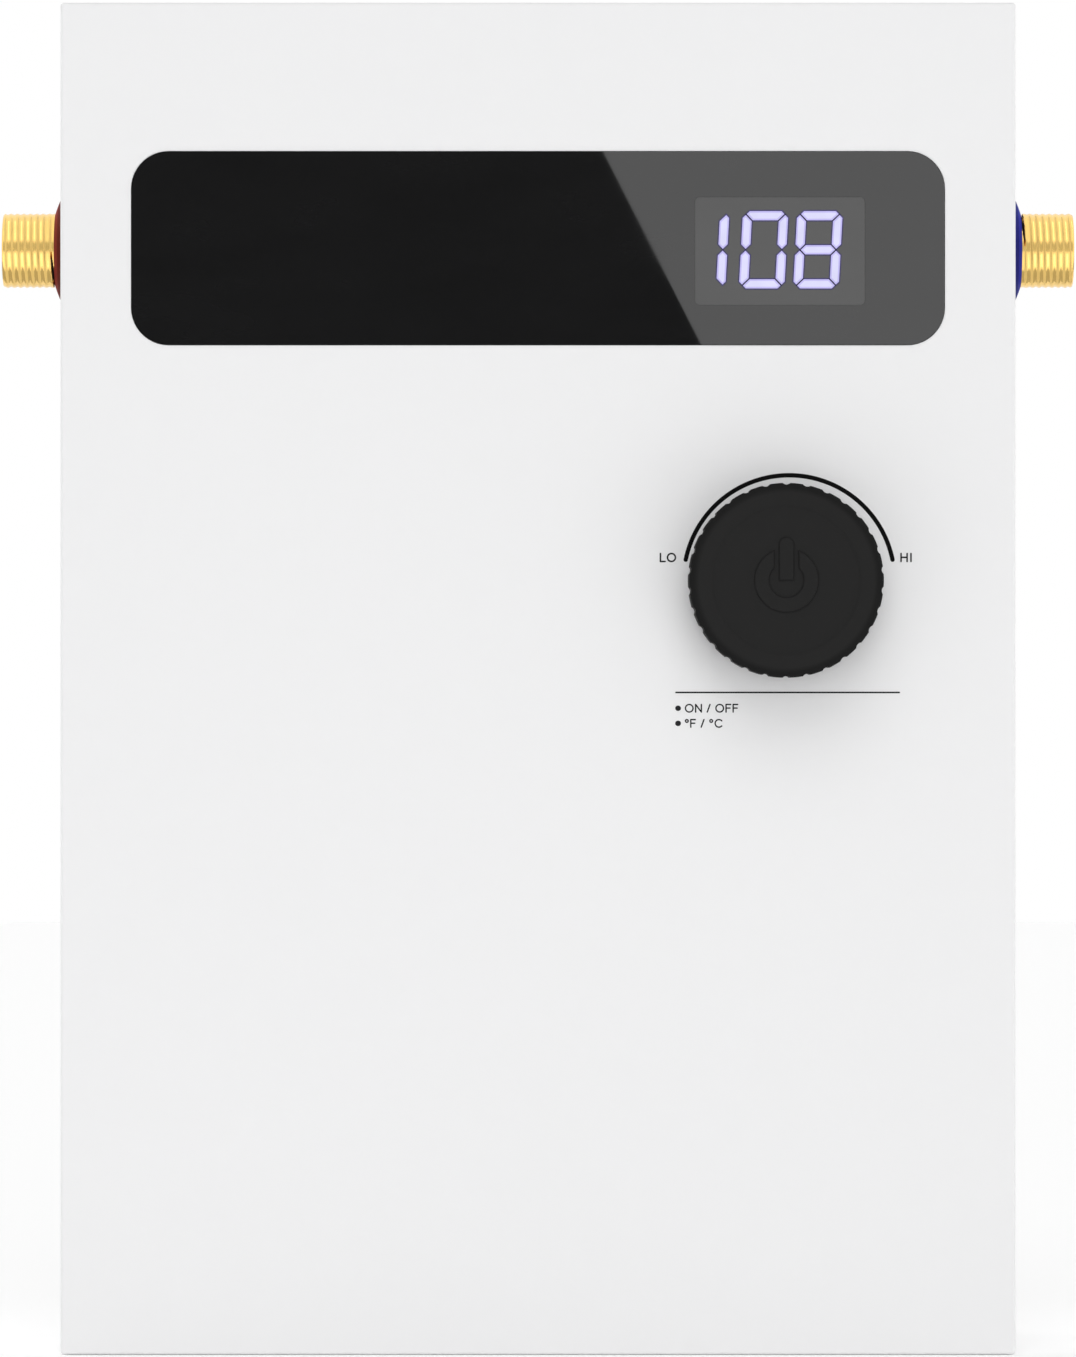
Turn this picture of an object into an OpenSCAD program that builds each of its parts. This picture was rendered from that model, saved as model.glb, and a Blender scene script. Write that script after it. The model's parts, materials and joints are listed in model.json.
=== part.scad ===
// Tankless electric water heater for a wall.
// Origin: middle of the four wall holes, on the wall plane. +X right seen from the front, +Y into the
// wall, +Z up. The front face looks along -Y. All sizes in millimetres.

/* [Case] */
// Outside width of the case
case_w = 265; // [262:1:285]
// Outside height of the case
case_h = 375; // [370:1:400]
// Depth from the wall to the front face
case_d = 80; // [78:1:90]
// Thickness of the sheet steel
sheet_t = 1; // [0.8:0.1:1.2]
// Depth of the walls that the cover turns back along the tray
cover_wall_d = 20; // [16:1:24]
// Gap between the cover's walls and the tray
cover_gap = 0.2; // [0.1:0.05:0.3]
// Radius along the cover's outer edges
cover_edge_r = 0.9; // [0.4:0.1:0.9]
// Gap between the tray's rim and the back of the cover's face
rim_gap = 0.5; // [0.3:0.1:1]
// Distance between the wall holes, side to side
wall_hole_w = 220; // [200:1:226]
// Distance between the wall holes, up and down
wall_hole_h = 330; // [324:1:340]
// Radius of each wall hole
wall_hole_r = 3.25; // [2.5:0.05:4]
// Distance between the cover screws, side to side
cover_screw_w = 200; // [160:1:220]
// Radius of a cover screw's countersunk head
cover_screw_head_r = 3.4; // [3:0.1:3.6]
// Radius of a cover screw's shank
cover_screw_r = 1.5; // [1.25:0.05:2]
// Length of a cover screw below the outer face
cover_screw_l = 6; // [5:0.5:9]

/* [Cable entry] */
// Distance of the cable entry from the left side of the case
cable_inset = 44.5; // [38:0.5:52]
// Distance of the cable entry from the wall
cable_y = 38; // [30:1:46]
// Radius of the cable entry's bore
cable_bore_r = 9; // [6:0.5:10]
// Wall of the grommet round the bore
grommet_wall = 4.9; // [3:0.1:6]
// Width of the grommet's flanges past its waist
grommet_lip = 3; // [2:0.5:4]
// Thickness of the grommet's outer flange
grommet_face = 1; // [0.6:0.1:1.1]
// Height of the grommet above the sheet, inside the case
grommet_rise = 4; // [2:0.5:8]

/* [Display] */
// Width of the gloss panel
panel_w = 225.5; // [200:0.5:226]
// Height of the gloss panel
panel_h = 53.6; // [48:0.2:56]
// Corner radius of the gloss panel
panel_r = 10.3; // [4:0.1:14]
// Distance from the top of the case to the panel's middle
panel_drop = 68.15; // [60:0.05:75]
// How far the panel stands proud of the front face
panel_proud = 0.3; // [0.1:0.1:0.6]
// Gap round the panel in the cover's cut-out
panel_gap = 0.15; // [0.05:0.05:0.3]
// Width of the display window
window_w = 47.2; // [45:0.2:52]
// Height of the display window
window_h = 30; // [28:0.2:34]
// Corner radius of the display window
window_r = 1.4; // [0.6:0.1:2]
// Distance of the window's middle to the right of the case's middle
window_x = 67.1; // [60:0.1:72]
// Distance of the window's middle below the panel's middle
window_drop = 0.8; // [-2:0.1:2]
// Depth of the display's face below the panel's face
display_sink = 0.15; // [0.15:0.05:0.6]
// Thickness of the lit segments
segment_t = 0.15; // [0.1:0.05:0.15]
// Height of a digit
digit_h = 21.45; // [18:0.05:23]
// Width of a digit, straightened up
digit_w = 12.6; // [11:0.1:13.5]
// Width of a segment
digit_stroke = 2.55; // [2:0.05:3]
// Length of the cut across a digit's outer corners, along each side
digit_corner = 1.9; // [1:0.1:2.4]
// Distance between the second and third digits
digit_pitch = 15.06; // [14.5:0.02:16]
// Distance between the first and second digits
first_pitch = 16.37; // [15.5:0.01:17]
// Lean of the digits, in degrees
digit_lean = 3.1; // [0:0.1:6]
// Gap between neighbouring segments
segment_gap = 0.36; // [0.2:0.02:0.6]
// Distance of the last digit to the right of the window's middle
digit_x = 10.54; // [9:0.02:12]
// Distance of the digits above the window's middle
digit_rise = 0.35; // [-1:0.05:1.5]

/* [Knob] */
// Radius of the knob over its ribs
knob_r = 26.8; // [24:0.1:28]
// Height of the knob
knob_h = 20; // [18:0.5:24]
// Gap between the knob and the front face
knob_gap = 2; // [1.8:0.1:3]
// Distance of the knob's axis to the right of the case's middle
knob_x = 68.3; // [64:0.1:80]
// Distance of the knob's axis below the top of the case
knob_drop = 160.5; // [150:0.5:180]
// Travel of the knob when it is pressed
knob_travel = 1.5; // [1:0.1:1.5]
// Number of notches round the knob
knob_notches = 30; // [20:1:36]
// Depth of a notch
notch_depth = 0.48; // [0.3:0.02:0.7]
// Radius of the cutter that makes a notch
notch_r = 1.5; // [1.2:0.1:2]
// Radius of the knob's rounded rim
knob_rim_r = 1.8; // [1.2:0.05:3]
// Radius of the hollow on the knob's face
dish_r = 21; // [18:0.5:22]
// Depth of the hollow on the knob's face
dish_depth = 0.8; // [0.6:0.1:1.5]
// Wall of the knob's skirt
knob_wall = 2.5; // [2:0.1:3]
// Thickness of the knob's face
knob_top_t = 3; // [2.8:0.1:4]
// Width of the raised power sign's strokes
sign_stroke = 4; // [3:0.1:4.2]
// Outer radius of the power sign's ring
sign_r = 8.8; // [8:0.1:9.4]
// Reach of the power sign's bar above the knob's axis
sign_top = 11.8; // [11:0.1:13]
// Height of the power sign above the hollow
sign_rise = 0.35; // [0.2:0.05:0.5]

/* [Encoder] */
// Radius of the encoder's shaft
shaft_r = 3; // [2.5:0.1:3.2]
// Distance of the shaft's flat from its axis
shaft_flat = 1.5; // [1.2:0.1:1.9]
// Running clearance between the shaft and its bores
shaft_fit = 0.05; // [0.02:0.01:0.08]
// Radius of the threaded bush
bush_r = 4.5; // [4.2:0.1:4.8]
// Length of the bush in front of the sheet
bush_l = 6; // [5.5:0.1:6]
// Width and height of the encoder's housing
housing_w = 18; // [17:0.5:20]
// Depth of the encoder's housing
housing_d = 9; // [8:0.5:10]
// Radius of the encoder's rotor
rotor_r = 6.8; // [6:0.1:7]
// Depth of the rotor
rotor_d = 4.6; // [3.6:0.1:4.6]
// Height of the snap dome
dome_h = 2; // [1.8:0.1:2.2]
// Radius of the snap dome
dome_r = 4; // [3.5:0.1:4.5]

/* [Water fittings] */
// Radius over the thread of a water fitting
thread_r = 10.4775; // [10:0.0025:10.6]
// Pitch of the thread
thread_pitch = 1.814; // [1.5:0.001:2]
// Width of the groove between two crests
groove_w = 0.44; // [0.3:0.02:0.46]
// Depth of the groove between two crests
groove_depth = 0.6; // [0.3:0.05:0.8]
// Reach of a fitting past the side of the case
fitting_reach = 18.3; // [17:0.1:22]
// Radius of a fitting's bore
fitting_bore_r = 7; // [6:0.1:7.2]
// Distance of the fittings' axis below the top of the case
fitting_drop = 66.7; // [64:0.1:72]
// Distance of the fittings' axis from the wall
fitting_y = 38; // [36:0.5:42]
// Radius of a fitting's plain shank
shank_r = 10.2; // [9.8:0.05:10.25]
// Length of a fitting inside the case
fitting_tail = 28; // [26:0.5:32]
// Radius of a collar at its base
collar_r = 17; // [16:0.1:18]
// Thickness of a collar at its rim
collar_rim = 2; // [1.1:0.1:2.4]
// Height of a collar where it meets the fitting
collar_h = 4.9; // [4.5:0.1:5.6]

/* [Flow sensor] */
// Length of the flow sensor between its neighbours
sensor_l = 40; // [38:0.5:42]
// Outer radius of the flow sensor
sensor_r = 14; // [13.6:0.1:15]
// Radius of the water way into and out of the flow sensor
sensor_bore_r = 6.5; // [5.5:0.1:6.6]
// Radius of the turbine chamber
chamber_r = 11; // [10.6:0.1:11.6]
// Radius of the turbine over its blades
turbine_r = 10.4; // [9.5:0.1:10.4]
// Radius of the turbine's axle
axle_r = 1.5; // [1.2:0.05:1.8]
// Number of turbine blades
blades = 6; // [4:1:8]
// Pitch angle of the blades
blade_tilt = 25; // [10:1:30]

/* [Heating] */
// Outer radius of a heating tube
tube_r = 21; // [20:0.1:21.6]
// Wall of a heating tube
tube_wall = 1.5; // [1:0.1:2]
// Outer radius of the outlet pipe
pipe_r = 9.5; // [8.8:0.1:9.8]
// Wall of the outlet pipe
pipe_wall = 1.4; // [1:0.1:2]
// Radius of the water way in the elbows
elbow_bore_r = 8; // [7.2:0.1:8.2]
// Height of the case that a heating tube leaves for the elbows above it and the leads below it
tube_room = 159; // [157:1:175]
// Distance between the heating tubes
tube_pitch = 60; // [58:0.5:62]
// Radius of an element's legs
leg_r = 4; // [3:0.1:4.2]
// Distance between an element's legs
leg_pitch = 16; // [14:0.5:17]
// Gap between an element's bend and the top of its tube
element_gap = 36; // [30:1:70]
// Height of the bottom manifold
manifold_h = 28; // [26:0.5:30]

/* [Electrics] */
// Width of the power board
board_w = 72; // [66:1:74]
// Height of the case that the power board leaves above and below it
board_room = 215; // [210:1:225]
// Thickness of the boards
board_t = 1.6; // [1:0.1:2]
// Height of the standoffs under the power board
standoff_l = 8; // [6:0.5:10]
// Radius of a power lead
lead_r = 1.6; // [1.2:0.1:1.8]
// Radius of a signal cable
cable_r = 1.8; // [1.2:0.1:2]

/* [Hidden] */
$fn = 96;
hull_fn = 32;
hex_fn = 6;
embed = 0.5;
thread_fit = 0.03;
slip = 0.2;
cut = 1;

// Planes of the case, front to back
front_y = -case_d;
cover_in_y = front_y + sheet_t;
tray_front_y = cover_in_y + rim_gap;
back_in_y = -sheet_t;
cover_back_y = front_y + cover_wall_d;
tray_w = case_w - 2 * (sheet_t + cover_gap);
tray_h = case_h - 2 * (sheet_t + cover_gap);
top_z = case_h / 2;
tray_x = tray_w / 2;
tray_z = tray_h / 2;
edge_steps = 4;

// Cover screws
cover_screw_y = front_y + cover_wall_d / 2;
cover_cone_h = cover_screw_head_r - cover_screw_r;
cover_nut_r = 3.6;
cover_nut_h = 3;
drive_w = 0.8;
drive_depth = 0.7;

// Cable entry
cable_x = -case_w / 2 + cable_inset;
grommet_waist_r = cable_bore_r + grommet_wall;
grommet_r = grommet_waist_r + grommet_lip;
grommet_hole_gap = 0.1;
grommet_inner_lip_h = 2;

// Display stack
panel_z = top_z - panel_drop;
panel_y = front_y - panel_proud;
window_z = panel_z - window_drop;
display_y = panel_y + display_sink;
carrier_margin = 7;
carrier_t = 2;
carrier_back_y = cover_in_y + carrier_t;
module_gap = 0.04;
module_d = 8;
module_back_y = display_y + module_d;
display_board_w = 110;
display_board_h = 44;
display_board_shift = 7;
display_board_x = window_x - display_board_shift;
display_board_y = module_back_y + board_t;
boss_r = 3;
boss_inset = 5;
stud_x = 90;
stud_r = 1.5;
stud_l = 8;
stud_gap = 0.2;
stud_rise = panel_h / 2 + carrier_margin / 2 + stud_gap;
carrier_nut_r = 3.2;
carrier_nut_h = 2.4;
small_screw_r = 1.25;
small_head_r = 2.4;
small_head_h = 1.6;
small_screw_l = 5;

// Knob and encoder stack
knob_z = top_z - knob_drop;
knob_y = front_y - knob_gap;
knob_roof = knob_h - knob_top_t;
hub_r = 6;
hub_gap = 0.9;
bush_end_y = front_y - bush_l;
hub_y = bush_end_y - knob_travel - hub_gap;
shaft_roof_gap = 2;
shaft_front_y = knob_y - knob_roof + shaft_roof_gap;
housing_back_y = cover_in_y + housing_d;
rotor_gap = 0.2;
rotor_front_y = cover_in_y + (housing_d - rotor_d) / 2;
clip_t = 0.8;
clip_gap = 0.1;
clip_r = 5;
shaft_tip = 0.4;
shaft_end_y = housing_back_y + clip_gap + clip_t + shaft_tip;
dome_gap = 0.3;
dome_top_y = shaft_end_y + dome_gap;
dome_t = 0.25;
encoder_board_y = dome_top_y + dome_h;
encoder_board_w = 24;
board_corner_r = 1;
post_r = 1.2;
post_inset = 1.2;
washer_t = 0.6;
washer_r = 7.5;
encoder_nut_r = 7;
encoder_nut_h = 2.4;
dish_slope = 1.5;
dish_floor = knob_h - dish_depth;
sign_bar_gap = 1.4;

// Bars of a digit, measured from its middle
half_w = digit_w / 2;
half_h = digit_h / 2;
mitre = segment_gap / (2 * sqrt(2));
corner = [half_w - digit_corner / 2, half_h - digit_corner / 2];

// Water path, worked inwards from the sides of the case
fit_y = -fitting_y;
fit_z = top_z - fitting_drop;
fitting_end = case_w / 2 + fitting_reach - tray_x;
thread_gap = 0.7;
thread_start = collar_h + thread_gap;
first_groove = 0.7;
thread_chamfer = 0.7;
flange_r = 15.5;
flange_t = 3.5;
gasket_t = 1.5;
gasket_lap = 1;
tail_r = pipe_r;
collar_gap = 0.15;
collar_bore_r = shank_r + collar_gap;
collar_sphere_r = (pow(collar_r, 2) - pow(collar_bore_r, 2) + pow(collar_h - collar_rim, 2))
    / (2 * (collar_h - collar_rim));
collar_dome_r = sqrt(pow(collar_bore_r, 2) + pow(collar_sphere_r, 2));
side_hole_r = 12.5;
spigot_gap = 0.1;
coupling_l = 12;
coupling_r = 14;
inlet_in_x = tray_x - fitting_tail;
sensor_in_x = inlet_in_x - sensor_l;
cap_l = 8.3;
cap_x = inlet_in_x - cap_l;
spigot_l = 3;
spider_t = 3;
spider_w = 3;
sensor_end_l = 6.7;
chamber_in_x = sensor_in_x + sensor_end_l;
spider_out_x = cap_x - spigot_l;
turbine_gap = 0.3;
turbine_hub_r = 3.5;
turbine_in_x = chamber_in_x + spider_t + turbine_gap;
turbine_out_x = spider_out_x - turbine_gap;
turbine_mid_x = (turbine_in_x + turbine_out_x) / 2;
blade_l = 11;
blade_t = 1.2;
axle_seat = 2;
pickup_w = 14;
pickup_d = 16;
pickup_h = 9;

// Elbows and tubes
elbow_arm = 17.3;
elbow_r = 11;
elbow_block = 12;
elbow_drop = 16.8;
cap_wall = 3;
cap_h = 12;
cap_seat = 6;
tube_fit = 0.05;
tube_right_x = sensor_in_x - elbow_arm;
tube_left_x = tube_right_x - tube_pitch;
cap_top_z = fit_z - elbow_drop;
tube_top_z = cap_top_z - cap_h + cap_seat;
tube_l = case_h - tube_room;
tube_bottom_z = tube_top_z - tube_l;
outlet_in_x = -tray_x + fitting_tail;
elbow_out_x = tube_left_x - elbow_arm;
manifold_wall = 5;
manifold_top_z = tube_bottom_z + cap_seat;
manifold_bottom_z = manifold_top_z - manifold_h;
cross_r = 7;
cross_gap = 1;
cross_z = tube_bottom_z - cross_r - cross_gap;
plug_r = 15.9;
plug_gap = 0.1;
plug_l = 5;
seal_t = 1.5;
seal_r = 20;
head_r = 23;
head_h = 8;
head_top_z = manifold_bottom_z - seal_t;
head_bottom_z = head_top_z - head_h;
terminal_r = 2.5;
terminal_l = 14.5;
insulator_r = 4.5;
insulator_l = 4.5;
leg_top_z = tube_top_z - element_gap - leg_r - leg_pitch / 2;

// Tank brackets
saddle_h = 14;
saddle_edge = 5;
saddle_front = 14;
saddle_y = fit_y + saddle_front;
strap_inset = 38;
strap_z = [tube_top_z - strap_inset, tube_bottom_z + strap_inset];
strap_t = 1.5;
strap_gap = 0.1;
strap_foot = 12;
strap_side = 2;
strap_left_x = tube_left_x - tube_r - saddle_edge - strap_side;
strap_right_x = tube_right_x + tube_r + saddle_edge + strap_side;
strap_front_y = fit_y - tube_r - strap_gap;
foot_stud_r = 2;
foot_stud_l = 7;
foot_nut_r = 4;
foot_nut_h = 3;

// Safety cut-off and sensors on the elbows
boss_top = 14;
cutoff_r = 8;
cutoff_h = 7;
cutoff_z = fit_z + boss_top;
button_stem_r = 1.5;
button_head_r = 3;
button_head_h = 1.8;
button_travel = 1;
button_gap = 0.2;
button_stem_l = 2.8;
button_bore_l = 4.5;
button_fit = 0.05;
probe_r = 2.5;
probe_fit = 0.05;
probe_l = 8;
probe_head_r = 5.5;
probe_head_h = 5;

// Power board and what stands on it
board_inset = 6.3;
board_left_x = -tray_x + sheet_t + board_inset;
board_right_x = board_left_x + board_w;
board_mid_x = (board_left_x + board_right_x) / 2;
board_drop = 14;
board_top_z = cap_top_z - board_drop;
board_h = case_h - board_room;
board_bottom_z = board_top_z - board_h;
board_back_y = back_in_y - standoff_l;
board_front_y = board_back_y - board_t;
board_hole_inset = 5;
standoff_r = 3.5;
board_screw_r = 1.5;
board_head_r = 2.8;
board_head_h = 1.8;
board_screw_l = 6;
part_d = 20;
relay_w = 15;
relay_h = 19;
relay_rise = 24;
relay_z = board_bottom_z + relay_rise;
relay_pitch = 18;
triac_w = 16;
triac_h = 21;
triac_d = 5;
part_row = 34;
triac_z = relay_z + part_row;
cap_can_r = 8;
cap_can_d = 22;
cap_can_z = triac_z + part_row;
plug_w = 8;
plug_h = 10;
plug_d = 7;
plug_row_drop = 12;
plug_row_z = board_top_z - plug_row_drop;
plug_row_inset = 14;
plug_row_pitch = 16;
plug_side_drop = 74;
plug_side_z = board_top_z - plug_side_drop;
plug_side_inset = 6;
plug_row_x = [for (k = [0 : 2]) board_right_x - plug_row_inset - k * plug_row_pitch];
plug_side_x = board_right_x - plug_side_inset;
display_plug_x = (tube_left_x + tube_right_x) / 2;
display_plug_d = 4;
block_w = 56;
block_h = 30;
block_d = 30;
block_drop = 30;
block_inset = 2;
block_left_x = board_left_x + block_inset;
block_top_z = board_bottom_z - block_drop;
block_bottom_z = block_top_z - block_h;
way_pitch = 18;
way_w = 13;
way_depth = 9;
way_edge = 4.5;
terminal_row = 6;
block_ways = [for (k = [0 : 2]) block_left_x + block_w / 2 + (k - 1) * way_pitch];
block_mid_z = (block_top_z + block_bottom_z) / 2;
block_front_y = back_in_y - block_d;
way_y = block_front_y + way_depth;
terminal_screw_r = 2;
terminal_head_r = 4;
terminal_head_h = 2.5;
terminal_screw_l = 8;
earth_gap = 16;
earth_x = block_left_x + block_w + earth_gap;
earth_drop = 19.5;
earth_z = block_bottom_z - earth_drop;
earth_r = 3;
earth_l = 12;
earth_nut_r = 6.5;
earth_nut_h = 5;

// Leads and cables
wire_sides = 8;
wire_up = [0.31, 0.83, 0.47];
wire_touch = 0.1;
bend_l = 7;
bend_share = 0.25;
cable_room = 8;
cable_over = 24;
lead_pitch = 5;
lead_step = 4.5;
lead_proud = 4;
lead_front_y = fit_y - lead_proud;
lead_low_z = head_bottom_z - terminal_l - lead_step;
lead_col_x = strap_left_x - strap_t - lead_step + lead_r;

module rod_x(r, x0, x1, y, z)
    translate([x0, y, z]) rotate([0, 90, 0]) cylinder(r = r, h = x1 - x0);

module rod_y(r, y0, y1, x, z)
    translate([x, y1, z]) rotate([90, 0, 0]) cylinder(r = r, h = y1 - y0);

module rod_z(r, z0, z1, x, y)
    translate([x, y, z0]) cylinder(r = r, h = z1 - z0);

module box(x, y, z)
    translate([x[0], y[0], z[0]]) cube([x[1] - x[0], y[1] - y[0], z[1] - z[0]]);

// Rectangle with round corners, made of straight bands and true circles
module rounded_rect(w, h, r) {
    square([w - 2 * r, h], center = true);
    square([w, h - 2 * r], center = true);
    for (sx = [-1, 1], sz = [-1, 1])
        translate([sx * (w / 2 - r), sz * (h / 2 - r)]) circle(r);
}

// Upright plate between two depths, drawn as seen from the front
module plate(w, h, r, y, x, z)
    translate([x, y[1], z]) rotate([90, 0, 0]) linear_extrude(y[1] - y[0]) rounded_rect(w, h, r);

module hex_y(r, y0, y1, x, z)
    translate([x, y1, z]) rotate([90, 0, 0]) cylinder(r = r, h = y1 - y0, $fn = hex_fn);

module hex_x(r, x0, x1, y, z)
    translate([x0, y, z]) rotate([0, 90, 0]) cylinder(r = r, h = x1 - x0, $fn = hex_fn);

module hex_z(r, z0, z1, x, y)
    translate([x, y, z0]) cylinder(r = r, h = z1 - z0, $fn = hex_fn);

// Frame of a fitting: local z runs outwards from the tray's side wall
module at_fitting(side)
    translate([side * tray_x, fit_y, fit_z]) rotate([0, side * 90, 0]) children();

function mix(a, b, t) = a + (b - a) * t;
function unit(v) = v / norm(v);
function cut_corners(p) = [p[0],
    for (i = [0 : len(p) - 2]) each [mix(p[i], p[i + 1], bend_share), mix(p[i], p[i + 1], 1 - bend_share)],
    p[len(p) - 1]];
function bend_at(p, q) = p + unit(q - p) * min(bend_l, norm(q - p) / 2);
function eased(p) = [p[0],
    for (i = [1 : len(p) - 2]) each [bend_at(p[i], p[i - 1]), bend_at(p[i], p[i + 1])],
    p[len(p) - 1]];
function heading(p, i) = unit(p[min(i + 1, len(p) - 1)] - p[max(i - 1, 0)]);
function ring(p, i, r) = let (t = heading(p, i), u = unit(cross(t, wire_up)), v = cross(t, u))
    [for (k = [0 : wire_sides - 1])
        p[i] + r * (cos(360 * k / wire_sides) * u + sin(360 * k / wire_sides) * v)];

// Round wire along a route whose corners are eased
module wire(route, r) {
    path = cut_corners(eased(route));
    last = len(path) - 1;
    n = wire_sides;
    points = [for (i = [0 : last]) each ring(path, i, r)];
    skin = [for (i = [0 : last - 1], k = [0 : n - 1])
        let (a = i * n + k, b = i * n + (k + 1) % n)
        each [[a, a + n, b], [b, a + n, b + n]]];
    start = [for (k = [1 : n - 2]) [0, k, k + 1]];
    stop = [for (k = [1 : n - 2]) [last * n, last * n + k + 1, last * n + k]];
    polyhedron(points, concat(skin, start, stop));
}

// Countersunk cover screw, its head level with the outer face
module cover_screw_shape(grow) {
    translate([0, 0, -cover_cone_h])
        cylinder(r1 = cover_screw_r + grow, r2 = cover_screw_head_r + grow, h = cover_cone_h);
    translate([0, 0, -cover_screw_l]) cylinder(r = cover_screw_r + grow, h = cover_screw_l);
}

module at_cover_screws()
    for (sx = [-1, 1], sz = [0, 1])
        mirror([0, 0, sz]) translate([sx * cover_screw_w / 2, cover_screw_y, top_z]) children();

module at_foot_studs()
    for (z = strap_z, x = [strap_left_x - strap_foot / 2, strap_right_x + strap_foot / 2])
        translate([x, back_in_y, z]) children();

module chassis() {
    color("gainsboro") {
        difference() {
            box([-tray_x, tray_x], [tray_front_y, 0], [-tray_z, tray_z]);
            box([-tray_x + sheet_t, tray_x - sheet_t], [tray_front_y - cut, back_in_y],
                [-tray_z + sheet_t, tray_z - sheet_t]);
            for (sx = [-1, 1], sz = [-1, 1])
                rod_y(wall_hole_r, back_in_y - cut, cut, sx * wall_hole_w / 2, sz * wall_hole_h / 2);
            for (side = [-1, 1])
                at_fitting(side) translate([0, 0, -2 * sheet_t]) cylinder(r = side_hole_r, h = 3 * sheet_t);
            rod_z(grommet_waist_r + grommet_hole_gap, -tray_z - cut, -tray_z + sheet_t + cut,
                cable_x, -cable_y);
            at_cover_screws() cover_screw_shape(thread_fit);
        }
        at_foot_studs()
            rotate([90, 0, 0])
                translate([0, 0, -embed]) cylinder(r = foot_stud_r, h = foot_stud_l + embed);
    }
}

// Shell whose front edge and corners are rounded
module cover_blank() {
    hull()
        for (i = [0 : edge_steps]) {
            a = 90 * i / edge_steps;
            inset = cover_edge_r * (1 - cos(a));
            y = front_y + cover_edge_r * (1 - sin(a));
            plate(case_w - 2 * inset, case_h - 2 * inset, cover_edge_r, [y, cover_back_y], 0, 0,
                $fn = hull_fn);
        }
}

module front_cover() {
    color("whitesmoke") {
        difference() {
            cover_blank();
            box([-case_w / 2 + sheet_t, case_w / 2 - sheet_t], [cover_in_y, cover_back_y + cut],
                [-top_z + sheet_t, top_z - sheet_t]);
            plate(panel_w + 2 * panel_gap, panel_h + 2 * panel_gap, panel_r + panel_gap,
                [front_y - cut, cover_in_y + cut], 0, panel_z);
            rod_y(bush_r + slip, front_y - cut, cover_in_y + cut, knob_x, knob_z);
            at_cover_screws() cover_screw_shape(thread_fit);
        }
        for (sx = [-1, 1], sz = [-1, 1])
            rod_y(stud_r, cover_in_y - embed, cover_in_y + stud_l, sx * stud_x, panel_z + sz * stud_rise);
    }
}

module cover_screws() {
    color("silver")
        at_cover_screws()
            difference() {
                cover_screw_shape(0);
                for (turn = [0, 90])
                    rotate([0, 0, turn])
                        translate([-cover_screw_r, -drive_w / 2, -drive_depth])
                            cube([2 * cover_screw_r, drive_w, drive_depth + cut]);
            }
}

module cover_nuts() {
    color("darkgray")
        at_cover_screws()
            translate([0, 0, tray_z - sheet_t - cover_nut_h - top_z])
                difference() {
                    cylinder(r = cover_nut_r, h = cover_nut_h);
                    translate([0, 0, -cut])
                        cylinder(r = cover_screw_r + thread_fit, h = cover_nut_h + 2 * cut);
                }
}

module cable_grommet() {
    low_z = -tray_z - grommet_face;
    lip_z = -tray_z + sheet_t;
    color("dimgray")
        difference() {
            union() {
                rod_z(grommet_r, low_z, -tray_z, cable_x, -cable_y);
                rod_z(grommet_waist_r, low_z, lip_z + grommet_rise, cable_x, -cable_y);
                rod_z(grommet_r, lip_z, lip_z + grommet_inner_lip_h, cable_x, -cable_y);
            }
            rod_z(cable_bore_r, low_z - cut, lip_z + grommet_rise + cut, cable_x, -cable_y);
        }
}

module display_panel() {
    color([0.08, 0.08, 0.09])
        difference() {
            plate(panel_w, panel_h, panel_r, [panel_y, cover_in_y], 0, panel_z);
            plate(window_w, window_h, window_r, [panel_y - cut, cover_in_y + cut], window_x, window_z);
        }
}

module at_display_bosses()
    for (sx = [-1, 1], sz = [-1, 1])
        translate([display_board_x + sx * (display_board_w / 2 - boss_inset), 0,
            window_z + sz * (display_board_h / 2 - boss_inset)]) children();

module display_carrier() {
    color([0.2, 0.2, 0.22])
        difference() {
            union() {
                plate(panel_w + 2 * carrier_margin, panel_h + 2 * carrier_margin, panel_r,
                    [cover_in_y, carrier_back_y], 0, panel_z);
                at_display_bosses() rod_y(boss_r, carrier_back_y - cut, module_back_y, 0, 0);
            }
            plate(window_w + slip, window_h + slip, window_r, [cover_in_y - cut, carrier_back_y + cut],
                window_x, window_z);
            for (sx = [-1, 1], sz = [-1, 1])
                rod_y(stud_r + stud_gap, cover_in_y - cut, carrier_back_y + cut,
                    sx * stud_x, panel_z + sz * stud_rise);
            at_display_bosses()
                rod_y(small_screw_r + thread_fit, display_board_y - small_screw_l - slip,
                    module_back_y + cut, 0, 0);
        }
}

module carrier_nuts() {
    color("silver")
        for (sx = [-1, 1], sz = [-1, 1])
            difference() {
                hex_y(carrier_nut_r, carrier_back_y, carrier_back_y + carrier_nut_h,
                    sx * stud_x, panel_z + sz * stud_rise);
                rod_y(stud_r + thread_fit, carrier_back_y - cut, carrier_back_y + carrier_nut_h + cut,
                    sx * stud_x, panel_z + sz * stud_rise);
            }
}

module display_module() {
    color([0.36, 0.36, 0.37])
        plate(window_w - 2 * module_gap, window_h - 2 * module_gap, window_r - module_gap,
            [display_y, module_back_y], window_x, window_z);
}

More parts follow.
